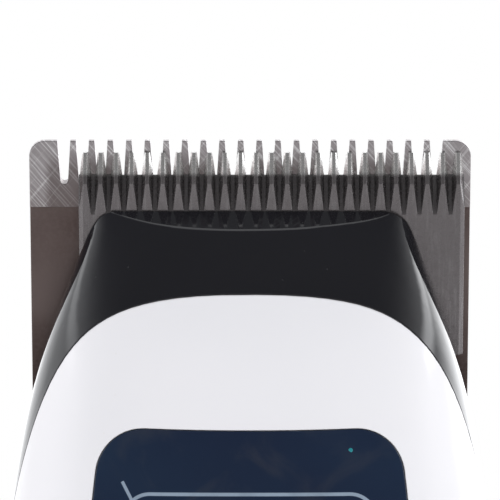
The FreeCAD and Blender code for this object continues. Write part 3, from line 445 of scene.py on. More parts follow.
@dataclass(frozen=True)
class CombSteel:
    """The comb's two zones: a ground land at the teeth and a darker relieved plate, whose dark warm
    colour is a painted reflection.
    """

    name: str
    land: Colour
    land_bright: Colour
    # The plate's dark warm colours paint a reflection of dark surroundings.
    plate: Colour
    plate_light: Colour
    land_edge: float
    # Height above the ledge over which the land's painted shade fades out.
    ledge_shade_height: float = 0.0035
    swept_half_width: float = 0.0212
    # Height band and share of the painted shade on the land behind the cutter.
    cutter_shade_line: tuple[float, float] = (0.1728, 0.1752)
    cutter_shade_share: float = 0.6
    first_turn: float = 42.0
    first_marks: tuple[float, float] = (6200.0, 90.0)
    second_turn: float = -40.0
    second_marks: tuple[float, float] = (3000.0, 50.0)
    second_sharpness: float = 5.0
    mark_share: float = 0.75
    crossed_share: float = 0.4
    stain_and_shade_share: float = 0.42
    edge_share: float = 0.3
    speckle_share: float = 0.4
    swept_fade: float = 0.001
    metallic: float = 0.9
    roughness: float = 0.42
    land_polish: float = 0.06
    plate_mark_share: float = 0.15
    mark_depth: float = 0.000007

    def build(self, shop: Shop) -> bpy.types.Material:
        """Makes the material.

        Args:
            shop: Shared effects.

        Returns:
            The material.
        """
        material, sheet, shader, place = shop.start(self.name)
        first, second = (
            shop.use(sheet, shop.effects.scratches, place,
                     Turn=(0.0, math.radians(turn), 0.0), Across=across, Along=along)
            for turn, (across, along) in ((self.first_turn, self.first_marks),
                                          (self.second_turn, self.second_marks)))
        grain = shop.use(sheet, shop.effects.grain, place, Fine=2600.0, Slow=90.0)
        edges = shop.use(sheet, shop.effects.edges, None)
        height = sheet.add("SeparateXYZ")
        sheet.join(place, height.inputs[0])
        on_land = sheet.sums("GREATER_THAN", height.outputs["Z"], self.land_edge)
        crossed = sheet.sums("MULTIPLY", sheet.sums("POWER", second.outputs["Lines"],
                                                    self.second_sharpness), self.crossed_share)
        along = sheet.sums("MULTIPLY", first.outputs["Lines"], self.mark_share)
        lines = sheet.sums("ADD", along, crossed, True)
        land = sheet.blend(lines, self.land, self.land_bright)
        # Painted shade: the land darkens towards the ledge into the relieved plate, broken up by the slow
        # grain drift.
        tone_shift = sheet.spread(height.outputs["Z"], self.land_edge, self.land_edge + self.ledge_shade_height,
                            self.stain_and_shade_share, 0.0)
        tone_shift = sheet.sums("MULTIPLY", tone_shift, sheet.spread(grain.outputs["Drift"], 0.0, 1.0, 0.6, 1.0))
        land = sheet.blend(tone_shift, land, self.plate_light)
        # Painted shade: inside the cutter's swept width and below a height, the land darkens to the
        # plate's colour where the cutter covers it.
        inside = sheet.spread(sheet.sums("ABSOLUTE", height.outputs["X"]),
                              self.swept_half_width - self.swept_fade, self.swept_half_width,
                              self.cutter_shade_share, 0.0)
        reach = sheet.spread(height.outputs["Z"], *self.cutter_shade_line, 1.0, 0.0)
        cutter_shade = sheet.sums("MULTIPLY", inside, reach)
        land = sheet.blend(cutter_shade, land, self.plate)
        # The plate's colour, a painted dark warm reflection, drifts at random between its two tones.
        plate = sheet.blend(grain.outputs["Drift"], self.plate, self.plate_light)
        speckle = sheet.spread(grain.outputs["Height"], 0.35, 0.75, 0.0, self.speckle_share)
        plate = sheet.blend(speckle, plate, self.plate_light)
        body = sheet.blend(on_land, plate, land)
        # Edges lighten towards the land's bright colour: partly wear, partly a painted highlight.
        edge_lightening = sheet.sums("MULTIPLY", edges.outputs["Mask"], self.edge_share)
        body = sheet.blend(edge_lightening, body, self.land_bright)
        sheet.join(body, shader.inputs["Base Color"])
        shader.inputs["Metallic"].default_value = self.metallic
        rough = sheet.sums("ADD", sheet.sums("MULTIPLY", on_land, -self.land_polish), self.roughness)
        sheet.join(rough, shader.inputs["Roughness"])
        depth = sheet.sums("MULTIPLY", sheet.sums("ADD", first.outputs["Height"],
                                                  second.outputs["Height"]),
                           sheet.sums("ADD", sheet.sums("MULTIPLY", on_land, 1.0 - self.plate_mark_share),
                                      self.plate_mark_share))
        shop.bump(sheet, shader, depth, self.mark_depth, edges.outputs["Normal"])
        return material


@dataclass(frozen=True)
class GlossPlastic:
    """High-gloss moulded plastic with faint smears and specks of dust."""

    name: str
    colour: Colour
    drift: Colour
    dust: Colour
    roughness: float = 0.07
    smear: float = 0.10
    dust_share: float = 0.5
    coat: float = 0.0
    coat_roughness: float = 0.04
    speck_roughness: float = 0.3
    edge_radius: float = 0.00018
    ripple: float = 0.0000025

    def build(self, shop: Shop) -> bpy.types.Material:
        """Makes the material.

        Args:
            shop: Shared effects.

        Returns:
            The material.
        """
        material, sheet, shader, place = shop.start(self.name)
        grain = shop.use(sheet, shop.effects.grain, place, Fine=420.0, Slow=28.0)
        marks = shop.use(sheet, shop.effects.smudges, place)
        edges = shop.use(sheet, shop.effects.edges, None, Radius=self.edge_radius)
        body = sheet.blend(grain.outputs["Drift"], self.colour, self.drift)
        dust = sheet.sums("MULTIPLY", marks.outputs["Specks"], self.dust_share)
        body = sheet.blend(dust, body, self.dust)
        sheet.join(body, shader.inputs["Base Color"])
        rough = sheet.spread(marks.outputs["Smear"], 0.0, 1.0, self.roughness,
                             self.roughness + self.smear)
        dusty = sheet.sums("MULTIPLY", marks.outputs["Specks"], self.speck_roughness)
        rough = sheet.sums("ADD", rough, dusty)
        sheet.join(rough, shader.inputs["Roughness"])
        shader.inputs["Coat Weight"].default_value = self.coat
        shader.inputs["Coat Roughness"].default_value = self.coat_roughness
        shop.bump(sheet, shader, grain.outputs["Height"], self.ripple, edges.outputs["Normal"])
        return material


@dataclass(frozen=True)
class MattePlastic:
    """Matt or satin moulded surface with a fine spark-eroded grain."""

    name: str
    colour: Colour
    light: Colour
    roughness: float = 0.55
    grain: float = 5200.0
    depth: float = 0.00002
    metallic: float = 0.0
    drift_share: float = 0.5
    edge_share: float = 0.5

    def build(self, shop: Shop) -> bpy.types.Material:
        """Makes the material.

        Args:
            shop: Shared effects.

        Returns:
            The material.
        """
        material, sheet, shader, place = shop.start(self.name)
        grain = shop.use(sheet, shop.effects.grain, place, Fine=self.grain, Slow=70.0)
        edges = shop.use(sheet, shop.effects.edges, None)
        drift = sheet.sums("MULTIPLY", grain.outputs["Drift"], self.drift_share)
        tone_shift = sheet.sums("MULTIPLY", edges.outputs["Mask"], self.edge_share)
        body = sheet.blend(tone_shift, sheet.blend(drift, self.colour, self.light), self.light)
        sheet.join(body, shader.inputs["Base Color"])
        shader.inputs["Metallic"].default_value = self.metallic
        rough = sheet.spread(grain.outputs["Height"], 0.3, 0.7,
                             self.roughness - 0.08, self.roughness + 0.1)
        sheet.join(rough, shader.inputs["Roughness"])
        shop.bump(sheet, shader, grain.outputs["Height"], self.depth, edges.outputs["Normal"])
        return material


@dataclass(frozen=True)
class PrintedWindow:
    """Dark gloss window with a thin printed frame line and a small tick, in metres."""

    name: str
    colour: Colour
    drift: Colour
    border: Colour
    line: Colour
    frame_half_width: float
    frame_top: float
    frame_bottom: float
    frame_radius: float = 0.0026
    line_width: float = 0.00028
    tick_inset: float = 0.0003
    tick_rise: float = 0.0003
    tick_half_length: float = 0.0010
    tick_lean: float = 62.0
    line_fade: float = 0.00006
    haze_share: float = 0.25
    edge_radius: float = 0.0002
    roughness: tuple[float, float] = (0.05, 0.16)
    ripple: float = 0.000001

    def _outline(self, sheet: Sheet, across: bpy.types.NodeSocket,
                 up: bpy.types.NodeSocket) -> bpy.types.NodeSocket:
        """Distance to a rounded rectangle's outline, turned into a thin line.

        Args:
            sheet: The material's sheet.
            across: Object X.
            up: Object Z.

        Returns:
            Mask of the printed line.
        """
        middle = (self.frame_top + self.frame_bottom) / 2.0
        half_height = (self.frame_top - self.frame_bottom) / 2.0
        inner_x = self.frame_half_width - self.frame_radius
        inner_z = half_height - self.frame_radius
        dx = sheet.sums("SUBTRACT", sheet.sums("ABSOLUTE", across), inner_x)
        dz = sheet.sums("SUBTRACT", sheet.sums("ABSOLUTE", sheet.sums("SUBTRACT", up, middle)), inner_z)
        px = sheet.sums("MAXIMUM", dx, 0.0)
        pz = sheet.sums("MAXIMUM", dz, 0.0)
        length = sheet.sums("SQRT", sheet.sums("ADD", sheet.sums("MULTIPLY", px, px),
                                               sheet.sums("MULTIPLY", pz, pz)))
        inside = sheet.sums("MINIMUM", sheet.sums("MAXIMUM", dx, dz), 0.0)
        distance = sheet.sums("SUBTRACT", sheet.sums("ADD", length, inside), self.frame_radius)
        return sheet.spread(sheet.sums("ABSOLUTE", distance), self.line_width / 2.0,
                            self.line_width / 2.0 + self.line_fade, 1.0, 0.0)

    def _tick(self, sheet: Sheet, across: bpy.types.NodeSocket,
              up: bpy.types.NodeSocket) -> bpy.types.NodeSocket:
        """Short slanted stroke over the frame's upper left corner.

        Args:
            sheet: The material's sheet.
            across: Object X.
            up: Object Z.

        Returns:
            Mask of the stroke.
        """
        lean = math.radians(self.tick_lean)
        x = sheet.sums("ADD", across, self.frame_half_width - self.tick_inset)
        z = sheet.sums("SUBTRACT", up, self.frame_top + self.tick_rise)
        off = sheet.sums("ADD", sheet.sums("MULTIPLY", x, math.sin(lean)),
                         sheet.sums("MULTIPLY", z, math.cos(lean)))
        along = sheet.sums("SUBTRACT", sheet.sums("MULTIPLY", z, math.sin(lean)),
                           sheet.sums("MULTIPLY", x, math.cos(lean)))
        thin = sheet.spread(sheet.sums("ABSOLUTE", off), self.line_width * 0.45,
                            self.line_width * 0.45 + self.line_fade, 1.0, 0.0)
        short = sheet.sums("LESS_THAN", sheet.sums("ABSOLUTE", along), self.tick_half_length)
        return sheet.sums("MULTIPLY", thin, short)

    def build(self, shop: Shop) -> bpy.types.Material:
        """Makes the material.

        Args:
            shop: Shared effects.

        Returns:
            The material.
        """
        material, sheet, shader, place = shop.start(self.name)
        axes = sheet.add("SeparateXYZ")
        sheet.join(place, axes.inputs[0])
        grain = shop.use(sheet, shop.effects.grain, place, Fine=300.0, Slow=55.0)
        marks = shop.use(sheet, shop.effects.smudges, place, Smear_Scale=140.0)
        edges = shop.use(sheet, shop.effects.edges, None, Radius=self.edge_radius)
        body = sheet.blend(grain.outputs["Drift"], self.colour, self.drift)
        haze = sheet.sums("MULTIPLY", marks.outputs["Smear"], self.haze_share)
        body = sheet.blend(haze, body, self.border)
        line = sheet.sums("MAXIMUM", self._outline(sheet, axes.outputs["X"], axes.outputs["Z"]),
                          self._tick(sheet, axes.outputs["X"], axes.outputs["Z"]))
        wear = sheet.spread(grain.outputs["Height"], 0.3, 0.6, 0.8, 1.0)
        body = sheet.blend(sheet.sums("MULTIPLY", line, wear), body, self.line)
        body = sheet.blend(edges.outputs["Mask"], body, self.border)
        sheet.join(body, shader.inputs["Base Color"])
        rough = sheet.spread(marks.outputs["Smear"], 0.0, 1.0, *self.roughness)
        sheet.join(rough, shader.inputs["Roughness"])
        shop.bump(sheet, shader, grain.outputs["Height"], self.ripple, edges.outputs["Normal"])
        return material


# The comb's plate colours paint a dark warm reflection; its land gets painted shade at the ledge and
# behind the cutter.
COMB = CombSteel("ground_comb_steel", land=(0.42, 0.385, 0.39), land_bright=(0.92, 0.90, 0.90),
                 plate=(0.118, 0.084, 0.077), plate_light=(0.21, 0.165, 0.155),
                 land_edge=0.1693)
# The cutter's edges lighten from wear and a painted highlight, and its ground flanks get a painted
# highlight.
CUTTER = Steel("dark_cutter_steel", (0.19, 0.174, 0.176), (0.62, 0.61, 0.61), 0.26,
               Marks.UPRIGHT, 5200.0, 260.0, 0.0000010, 0.10, 0.30, 0.72,
               ground_line=0.1726, ground_colour=(0.52, 0.51, 0.50))
ZINC = Steel("zinc_plated_steel", (0.52, 0.52, 0.53), (0.85, 0.85, 0.85), 0.28)
SPRING = Steel("spring_steel", (0.40, 0.40, 0.42), (0.75, 0.75, 0.76), 0.30)
MOTOR = Steel("drawn_motor_steel", (0.50, 0.50, 0.50), (0.75, 0.75, 0.75), 0.38)
LAMINATE = Steel("laminated_steel", (0.34, 0.32, 0.31), (0.6, 0.58, 0.56), 0.45,
                 Marks.LEVEL, 3000.0, 40.0)
SHAFT = Steel("ground_shaft_steel", (0.60, 0.60, 0.61), (0.9, 0.9, 0.9), 0.2, Marks.LEVEL)
NICKEL = Steel("nickel_plate", (0.60, 0.57, 0.50), (0.9, 0.88, 0.82), 0.24)
CHROME = Steel("bright_plated_ring", (0.72, 0.73, 0.75), (0.95, 0.95, 0.96), 0.12,
               Marks.LEVEL, 9000.0, 200.0, 0.0000008, 0.15)
BRASS = Steel("turned_brass", (0.72, 0.50, 0.20), (0.95, 0.78, 0.45), 0.3, Marks.LEVEL)
BLACK_OXIDE = Steel("black_oxide_screws", (0.05, 0.05, 0.055), (0.30, 0.30, 0.30), 0.4)
BLACK = GlossPlastic("black_gloss_plastic", (0.005, 0.005, 0.007), (0.008, 0.008, 0.011),
                     (0.10, 0.10, 0.11), 0.06, 0.08, 0.15, 0.5)
WHITE = GlossPlastic("white_gloss_plastic", (0.865, 0.858, 0.88), (0.81, 0.81, 0.835),
                     (0.60, 0.59, 0.57), 0.14, 0.08, 0.3, 0.3)
GREY_BUTTON = MattePlastic("satin_grey_button", (0.42, 0.44, 0.47), (0.60, 0.62, 0.65), 0.42,
                           6000.0, 0.000008)
ACETAL = MattePlastic("natural_acetal", (0.72, 0.71, 0.67), (0.85, 0.84, 0.80), 0.4)
FRAME_BLACK = MattePlastic("black_filled_plastic", (0.030, 0.030, 0.033), (0.09, 0.09, 0.095), 0.6)
COATED_ZINC = MattePlastic("black_coated_zinc", (0.020, 0.020, 0.022), (0.12, 0.12, 0.12), 0.45,
                           3800.0, 0.00002, 0.4)
FOAM = MattePlastic("black_foam", (0.02, 0.02, 0.02), (0.05, 0.05, 0.05), 0.9, 2500.0, 0.00008)
DISPLAY_GLASS = GlossPlastic("unlit_display", (0.08, 0.09, 0.10), (0.10, 0.11, 0.12), (0.3, 0.3, 0.3))
BOARD = MattePlastic("green_solder_mask", (0.012, 0.10, 0.035), (0.03, 0.18, 0.07), 0.35, 1500.0)
CHIP = MattePlastic("moulded_chip", (0.02, 0.02, 0.022), (0.06, 0.06, 0.06), 0.5)
FERRITE = MattePlastic("sintered_ferrite", (0.07, 0.07, 0.075), (0.14, 0.14, 0.14), 0.7, 3000.0, 0.00003)
WRAP = GlossPlastic("blue_cell_wrap", (0.03, 0.12, 0.38), (0.04, 0.15, 0.42), (0.5, 0.5, 0.5), 0.25)
SLEEVE = MattePlastic("red_silicone_sleeve", (0.42, 0.015, 0.012), (0.55, 0.05, 0.04), 0.5)
WINDOW = PrintedWindow("navy_display_window", (0.007, 0.014, 0.036), (0.010, 0.022, 0.048),
                       (0.045, 0.048, 0.060), (0.262, 0.328, 0.412),
                       frame_half_width=0.0124, frame_top=0.14095, frame_bottom=0.105)
LENS = GlossPlastic("teal_status_lens", (0.02, 0.22, 0.26), (0.03, 0.30, 0.33), (0.3, 0.4, 0.4))
GOLD = Steel("gold_plated_contact", (0.80, 0.58, 0.22), (0.98, 0.83, 0.50), 0.2, Marks.LEVEL)


# ---------------------------------------------------------------- modelling by hand
class Bench:
    """Operator steps for the small pieces that are modelled here."""

    @staticmethod
    def settle(name: str) -> bpy.types.Object:
        """Names the active object and puts its place into its mesh.

        Args:
            name: The piece's name.

        Returns:
            The piece, at the origin, unturned and unscaled.
        """
        piece = bpy.context.active_object
        piece.name = name
        piece.data.name = name
        bpy.ops.object.transform_apply(location=True, rotation=True, scale=True)
        return piece

    @classmethod
    def peg(cls, name: str, radius: float, length: float, centre: Vector,
            turn: tuple[float, float, float], sides: int = 32) -> bpy.types.Object:
        """Adds a round peg as a start.

        Args:
            name: The piece's name.
            radius: Its radius.
            length: Its length.
            centre: Its middle.
            turn: Its turn as Euler angles.
            sides: How many sides it has.

        Returns:
            The peg.
        """
        bpy.ops.object.select_all(action="DESELECT")
        bpy.ops.mesh.primitive_cylinder_add(vertices=sides, radius=radius, depth=length,
                                            location=centre, rotation=turn)
        return cls.settle(name)

    @classmethod
    def bar(cls, name: str, size: Vector, centre: Vector) -> bpy.types.Object:
        """Adds a rectangular bar as a start.

        Args:
            name: The piece's name.
            size: Its three sides.
            centre: Its middle.

        Returns:
            The bar.
        """
        bpy.ops.object.select_all(action="DESELECT")
        bpy.ops.mesh.primitive_cube_add(size=1.0, location=centre, scale=size)
        return cls.settle(name)

    @staticmethod
    def pick_faces(piece: bpy.types.Object, towards: Vector) -> None:
        """Enters edit mode with only the faces selected that look one way.

        Args:
            piece: The piece to edit.
            towards: The direction that the faces look in.
        """
        bpy.ops.object.select_all(action="DESELECT")
        piece.select_set(True)
        bpy.context.view_layer.objects.active = piece
        bpy.ops.object.mode_set(mode="EDIT")
        bpy.ops.mesh.select_mode(type="FACE")
        bpy.ops.mesh.select_all(action="DESELECT")
        mesh = bmesh.from_edit_mesh(piece.data)
        for face in mesh.faces:
            face.select = face.normal.dot(towards) > 0.9
        bmesh.update_edit_mesh(piece.data)

    @staticmethod
    def leave(piece: bpy.types.Object, angle: float = 40.0) -> bpy.types.Object:
        """Leaves edit mode and smooths the shading under an angle.

        Args:
            piece: The edited piece.
            angle: Angle in degrees past which an edge stays sharp.

        Returns:
            The same piece.
        """
        bpy.ops.object.mode_set(mode="OBJECT")
        bpy.ops.object.shade_smooth_by_angle(angle=math.radians(angle))
        return piece


# ---------------------------------------------------------------- sub-assemblies
@dataclass
class Assembly:
    """A group of nodes and small pieces, each with its finish."""

    title: str
    body: str = "housing"
    finishes: dict[str, object] = field(default_factory=dict)

    def build(self) -> list[tuple[bpy.types.Object, object, str]]:
        """Models the small pieces; a group with none gives an empty list."""
        return []

    def assemble(self, shop: Shop, made: dict[object, bpy.types.Material]) -> None:
        """Dresses the nodes, then builds, dresses and mounts the small pieces.

        Args:
            shop: Shared effects.
            made: Materials already built, by finish.
        """
        for node, finish in self.finishes.items():
            self.dress(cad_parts[node], finish, shop, made)
            LOG.info("%s: %s in %s", self.title, node, finish.name)
        for piece, finish, slot in self.build():
            self.dress(piece, finish, shop, made)
            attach(piece, self.body)
            LOG.info("%s: %s in %s, modelled here", self.title, piece.name, finish.name)

    @staticmethod
    def dress(part: bpy.types.Object, finish: object, shop: Shop,
              made: dict[object, bpy.types.Material]) -> None:
        """Gives one object its finish, built once for all that share it.

        Args:
            part: A node's object or a piece.
            finish: Its finish.
            shop: Shared effects.
            made: Materials already built, by finish.
        """
        if finish not in made:
            made[finish] = finish.build(shop)
        part.data.materials.clear()
        part.data.materials.append(made[finish])


@dataclass
class BladeSet(Assembly):
    """Comb, cutter and what holds them."""

    title: str = "blade set"
    finishes: dict[str, object] = field(default_factory=lambda: {
        "comb_blade": COMB, "comb_screws": ZINC, "cutter_blade": CUTTER,
        "cutter_carrier": FRAME_BLACK, "carrier_rivets": NICKEL, "blade_bracket": COATED_ZINC,
        "leaf_spring": SPRING, "leaf_spring_screws": BLACK_OXIDE})


@dataclass
class Housing(Assembly):
    """Outer shells and their screws."""

    title: str = "housing"
    finishes: dict[str, object] = field(default_factory=lambda: {
        "nose_shell": BLACK, "front_cover": WHITE, "rear_shell": BLACK, "tail_cap": BLACK,
        "housing_screws": BLACK_OXIDE, "chassis": FRAME_BLACK})


@dataclass
class Display(Assembly):
    """Window, what lies behind it and the status lens in it."""

    title: str = "display"
    finishes: dict[str, object] = field(default_factory=lambda: {
        "display_window": WINDOW, "display_gasket": FOAM, "display_module": DISPLAY_GLASS})
    lens_x: float = 0.0099
    lens_z: float = 0.1452
    lens_radius: float = 0.00022
    lens_length: float = 0.0008
    lens_proud: float = 0.00004

    def build(self) -> list[tuple[bpy.types.Object, object, str]]:
        """Models the domed status lens, set into the window's face.

        Returns:
            The lens, its finish and a slot name.
        """
        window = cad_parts["display_window"]
        towards_back = Vector((0.0, 1.0, 0.0))
        start = Vector((self.lens_x, -1.0, self.lens_z))
        _hit, face, _normal, _index = window.ray_cast(start, towards_back)
        centre = face + towards_back * (self.lens_length / 2.0 - self.lens_proud)
        lens = Bench.peg("status_lens", self.lens_radius, self.lens_length, centre,
                         (math.pi / 2.0, 0.0, 0.0), 24)
        Bench.pick_faces(lens, -towards_back)
        for share in (0.25, 0.3, 0.4):
            bpy.ops.mesh.inset(thickness=self.lens_radius * share, depth=self.lens_proud * share)
        return [(Bench.leave(lens, 60.0), LENS, "display_grey")]


@dataclass
class Controls(Assembly):
    """Power button, its ring and the switch that it works."""

    title: str = "controls"
    finishes: dict[str, object] = field(default_factory=lambda: {
        "power_button": GREY_BUTTON, "button_ring": CHROME, "switch_stem": ACETAL,
        "tact_switch": CHIP})


@dataclass
class Drive(Assembly):
    """Motor and eccentric drive."""

    title: str = "drive"
    finishes: dict[str, object] = field(default_factory=lambda: {
        "motor_can": MOTOR, "motor_end_cap": FRAME_BLACK, "motor_terminals": BRASS,
        "motor_bushes": BRASS, "motor_magnets": FERRITE, "motor_screws": ZINC,
        "rotor_core": LAMINATE, "motor_shaft": SHAFT, "eccentric_cam": ACETAL,
        "drive_pin": SHAFT})


@dataclass
class Power(Assembly):
    """Battery, boards, leads and the charging inlet with its contacts."""

    title: str = "power"
    finishes: dict[str, object] = field(default_factory=lambda: {
        "main_board": BOARD, "board_chips": CHIP, "board_screws": BLACK_OXIDE,
        "battery_cell": WRAP, "battery_tabs": NICKEL, "charging_inlet": NICKEL,
        "inlet_tongue": FRAME_BLACK, "inlet_board": BOARD, "motor_leads": SLEEVE,
        "battery_lead": SLEEVE, "charge_leads": SLEEVE})
    contacts: int = 12
    contact_pitch: float = 0.0005
    contact_width: float = 0.00028
    contact_height: float = 0.0028
    contact_thickness: float = 0.00008
    contact_setback: float = 0.0006

    def build(self) -> list[tuple[bpy.types.Object, object, str]]:
        """Models the rows of contacts on both faces of the inlet's tongue.

        Returns:
            The contacts, each with its finish and a slot name.
        """
        low, high = (Vector(corner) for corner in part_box("inlet_tongue"))
        pieces = []
        centre_z = low.z + self.contact_setback + self.contact_height / 2.0
        size = Vector((self.contact_width, self.contact_thickness, self.contact_height))
        for row, (y, way) in enumerate(((low.y, -1.0), (high.y, 1.0))):
            for place in range(self.contacts):
                x = (low.x + high.x) / 2.0 + (place - (self.contacts - 1) / 2.0) * self.contact_pitch
                contact = Bench.bar(f"inlet_contact_{row + 1}_{place + 1}", size,
                                    Vector((x, y, centre_z)))
                Bench.pick_faces(contact, Vector((0.0, way, 0.0)))
                bpy.ops.mesh.bevel(offset=self.contact_thickness / 3.0, segments=2)
                pieces.append((Bench.leave(contact), GOLD, "brass_parts"))
        return pieces


# ---------------------------------------------------------------- studio
@dataclass(frozen=True)
class Softbox:
    """One soft lamp: where it hangs, its size, power and colour."""

    name: str
    place: tuple[float, float, float]
    size: tuple[float, float]
    watts: float
    colour: Colour


@dataclass
class Studio:
    """Floor, backdrop, lamps and camera."""

    floor_radius: float = 0.6
    floor_colour: Colour = (0.80, 0.80, 0.80)
    fade_start: float = 0.14
    fade_end: float = 0.42
    ambient: float = 1.04
    ambient_above: float = 0.55
    dark_gloss: float = 0.15
    side_gloss: float = 0.9
    left_back: float = 0.9
    right_back: float = 2.75
    overhead_gloss: float = 0.8
    left_strip: float = 0.8
    right_strip: float = 2.4
    strip_height: tuple[float, float] = (0.34, 0.51)
    strip_depth: tuple[float, float] = (0.0, 0.58)
    strip_edge: float = 0.07
    strip_side: tuple[float, float] = (0.55, 0.62)
    beside_across: tuple[float, float] = (0.2, 0.95)
    beside_depth: tuple[float, float] = (-0.55, 0.15)
    behind_depth: tuple[float, float] = (0.0, 0.8)
    behind_across: tuple[float, float] = (-0.9, 0.9)
    top_fade: tuple[float, float] = (0.35, 0.95)
    overhead_height: tuple[float, float] = (0.97, 0.995)
    sky_colour: Colour = (0.97, 0.98, 1.0)
    lens: float = 282.9
    camera_place: tuple[float, float, float] = (0.0, -0.402, 0.1649)
    softboxes: tuple[Softbox, ...] = (
        Softbox("left_softbox", (-0.60, -0.25, 0.20), (0.5, 0.5), 1.3, (1.0, 0.96, 0.97)),
        Softbox("right_softbox", (0.62, -0.22, 0.16), (0.5, 0.5), 1.8, (1.0, 0.985, 1.0)),
        Softbox("top_softbox", (0.0, -0.05, 0.75), (0.6, 0.4), 0.2, (0.96, 0.98, 1.0)))

    def lay_floor(self) -> None:
        """Lays a pale disc that turns into the white backdrop away from the object."""
        bpy.ops.object.select_all(action="DESELECT")
        bpy.ops.mesh.primitive_circle_add(vertices=96, radius=self.floor_radius, fill_type="NGON")
        floor = bpy.context.active_object
        floor.name = "studio_floor"
        material = bpy.data.materials.new("pale_floor")
        material.use_nodes = True
        sheet = Sheet(material.node_tree)
        shader = material.node_tree.nodes["Principled BSDF"]
        shader.inputs["Base Color"].default_value = (*self.floor_colour, 1.0)
        shader.inputs["Roughness"].default_value = 0.9
        white = sheet.add("Emission")
        white.inputs["Color"].default_value = (1.0, 1.0, 1.0, 1.0)
        away = sheet.add("VectorMath", operation="LENGTH")
        sheet.join(sheet.add("TexCoord").outputs["Object"], away.inputs[0])
        fade = sheet.spread(away.outputs["Value"], self.fade_start, self.fade_end)
        seen = sheet.sums("MULTIPLY", fade, sheet.add("LightPath").outputs["Is Camera Ray"])
        mix = sheet.add("MixShader")
        sheet.join(seen, mix.inputs[0])
        sheet.join(shader.outputs[0], mix.inputs[1])
        sheet.join(white.outputs[0], mix.inputs[2])
        sheet.join(mix.outputs[0], material.node_tree.nodes["Material Output"].inputs["Surface"])
        floor.data.materials.append(material)

    def _strip(self, sheet: Sheet, way: bpy.types.Node, side: float,
               strength: float) -> bpy.types.NodeSocket:
        """One narrow strip light beside the object, as gloss surfaces mirror it.

        Args:
            sheet: The world's sheet.
            way: Node with the direction's three parts.
            side: 1 for the right side, -1 for the left.
            strength: The strip's brightness.

        Returns:
            Its brightness in each direction.
        """
        low, high = self.strip_height
        near, far = self.strip_depth
        soft = self.strip_edge
        across = sheet.spread(sheet.sums("MULTIPLY", way.outputs["X"], side),
                              *self.strip_side)
        over = sheet.spread(way.outputs["Z"], low, low + soft)
        under = sheet.spread(way.outputs["Z"], high - soft, high, 1.0, 0.0)
        behind = sheet.spread(way.outputs["Y"], near, near + soft)
        before = sheet.spread(way.outputs["Y"], far - soft, far, 1.0, 0.0)
        shape = sheet.sums("MULTIPLY", sheet.sums("MULTIPLY", over, under),
                           sheet.sums("MULTIPLY", behind, before))
        return sheet.sums("MULTIPLY", sheet.sums("MULTIPLY", shape, across), strength)

    def _gloss_sky(self, sheet: Sheet, way: bpy.types.Node) -> bpy.types.NodeSocket:
        """What gloss surfaces mirror: dark in front and above, bright beside and behind.

        Args:
            sheet: The world's sheet.
            way: Node with the direction's three parts.

        Returns:
            The brightness in each direction.
        """
        sideways = sheet.sums("ABSOLUTE", way.outputs["X"])
        beside = sheet.sums("MULTIPLY", sheet.spread(sideways, *self.beside_across),
                            sheet.spread(way.outputs["Y"], *self.beside_depth))
        behind = sheet.spread(way.outputs["Y"], *self.behind_depth)
        below_top = sheet.spread(way.outputs["Z"], *self.top_fade, 1.0, 0.0)
        overhead = sheet.spread(way.outputs["Z"], *self.overhead_height, 0.0, self.overhead_gloss)
        back = sheet.sums("MULTIPLY", behind, sheet.spread(way.outputs["X"], *self.behind_across,
                                                           self.left_back, self.right_back))
        side = sheet.sums("MULTIPLY", beside, self.side_gloss)
        broad = sheet.sums("MULTIPLY", sheet.sums("MAXIMUM", side, back), below_top)
        strips = sheet.sums("ADD", self._strip(sheet, way, 1.0, self.right_strip),
                            self._strip(sheet, way, -1.0, self.left_strip))
        dim = sheet.sums("ADD", overhead, self.dark_gloss)
        return sheet.sums("ADD", sheet.sums("ADD", broad, dim), strips)

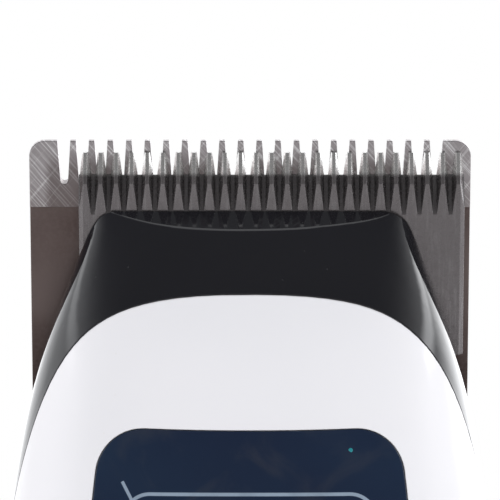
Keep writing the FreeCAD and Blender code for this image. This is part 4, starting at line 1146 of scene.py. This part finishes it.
    def hang_backdrop(self) -> None:
        """Gives the world a white backdrop and a soft sky that is dim in front of the object."""
        world = bpy.data.worlds.new("studio_world")
        bpy.context.scene.world = world
        world.use_nodes = True
        world.node_tree.nodes.clear()
        sheet = Sheet(world.node_tree)
        way = sheet.add("SeparateXYZ")
        sheet.join(sheet.add("TexCoord").outputs["Generated"], way.inputs[0])
        rays = sheet.add("LightPath")
        soft = sheet.spread(way.outputs["Z"], 0.0, 1.0, self.ambient, self.ambient_above)
        level = sheet.sums("ADD", soft,
                           sheet.sums("MULTIPLY", rays.outputs["Is Glossy Ray"],
                                      sheet.sums("SUBTRACT", self._gloss_sky(sheet, way), soft)))
        light = sheet.add("Background")
        light.inputs["Color"].default_value = (*self.sky_colour, 1.0)
        sheet.join(level, light.inputs["Strength"])
        white = sheet.add("Background")
        white.inputs["Color"].default_value = (1.0, 1.0, 1.0, 1.0)
        mix = sheet.add("MixShader")
        sheet.join(rays.outputs["Is Camera Ray"], mix.inputs[0])
        sheet.join(light.outputs[0], mix.inputs[1])
        sheet.join(white.outputs[0], mix.inputs[2])
        out = sheet.add("OutputWorld")
        sheet.join(mix.outputs[0], out.inputs["Surface"])

    def hang_lamp(self, box: Softbox) -> None:
        """Hangs one soft lamp that looks at the blades and leaves no mirror image of itself.

        Args:
            box: The lamp to hang.
        """
        data = bpy.data.lights.new(box.name, "AREA")
        data.shape = "RECTANGLE"
        data.size, data.size_y = box.size
        data.energy = box.watts
        data.color = box.colour
        lamp = bpy.data.objects.new(box.name, data)
        lamp.visible_glossy = False
        bpy.context.scene.collection.objects.link(lamp)
        lamp.location = Vector(box.place)
        aim = Vector((0.0, 0.0, self.camera_place[2])) - lamp.location
        lamp.rotation_euler = aim.to_track_quat("-Z", "Y").to_euler()

    def place_camera(self) -> None:
        """Sets the camera square on to the front, level with the nose."""
        data = bpy.data.cameras.new("front_camera")
        data.lens = self.lens
        data.clip_start = 0.01
        camera = bpy.data.objects.new("front_camera", data)
        bpy.context.scene.collection.objects.link(camera)
        camera.location = self.camera_place
        camera.rotation_euler = (math.pi / 2.0, 0.0, 0.0)
        bpy.context.scene.camera = camera

    def set_up(self) -> None:
        """Sets up the whole studio."""
        self.lay_floor()
        self.hang_backdrop()
        for box in self.softboxes:
            self.hang_lamp(box)
        self.place_camera()
        bpy.context.scene.view_settings.view_transform = "Standard"


def main() -> None:
    """Builds every sub-assembly, then the studio."""
    logging.basicConfig(level=logging.INFO, format="%(name)s: %(message)s")
    shop = Shop(Effects())
    made: dict[object, bpy.types.Material] = {}
    for assembly in (BladeSet(), Housing(), Display(), Controls(), Drive(), Power()):
        assembly.assemble(shop, made)
    Studio().set_up()


if __name__ == "__main__":
    main()
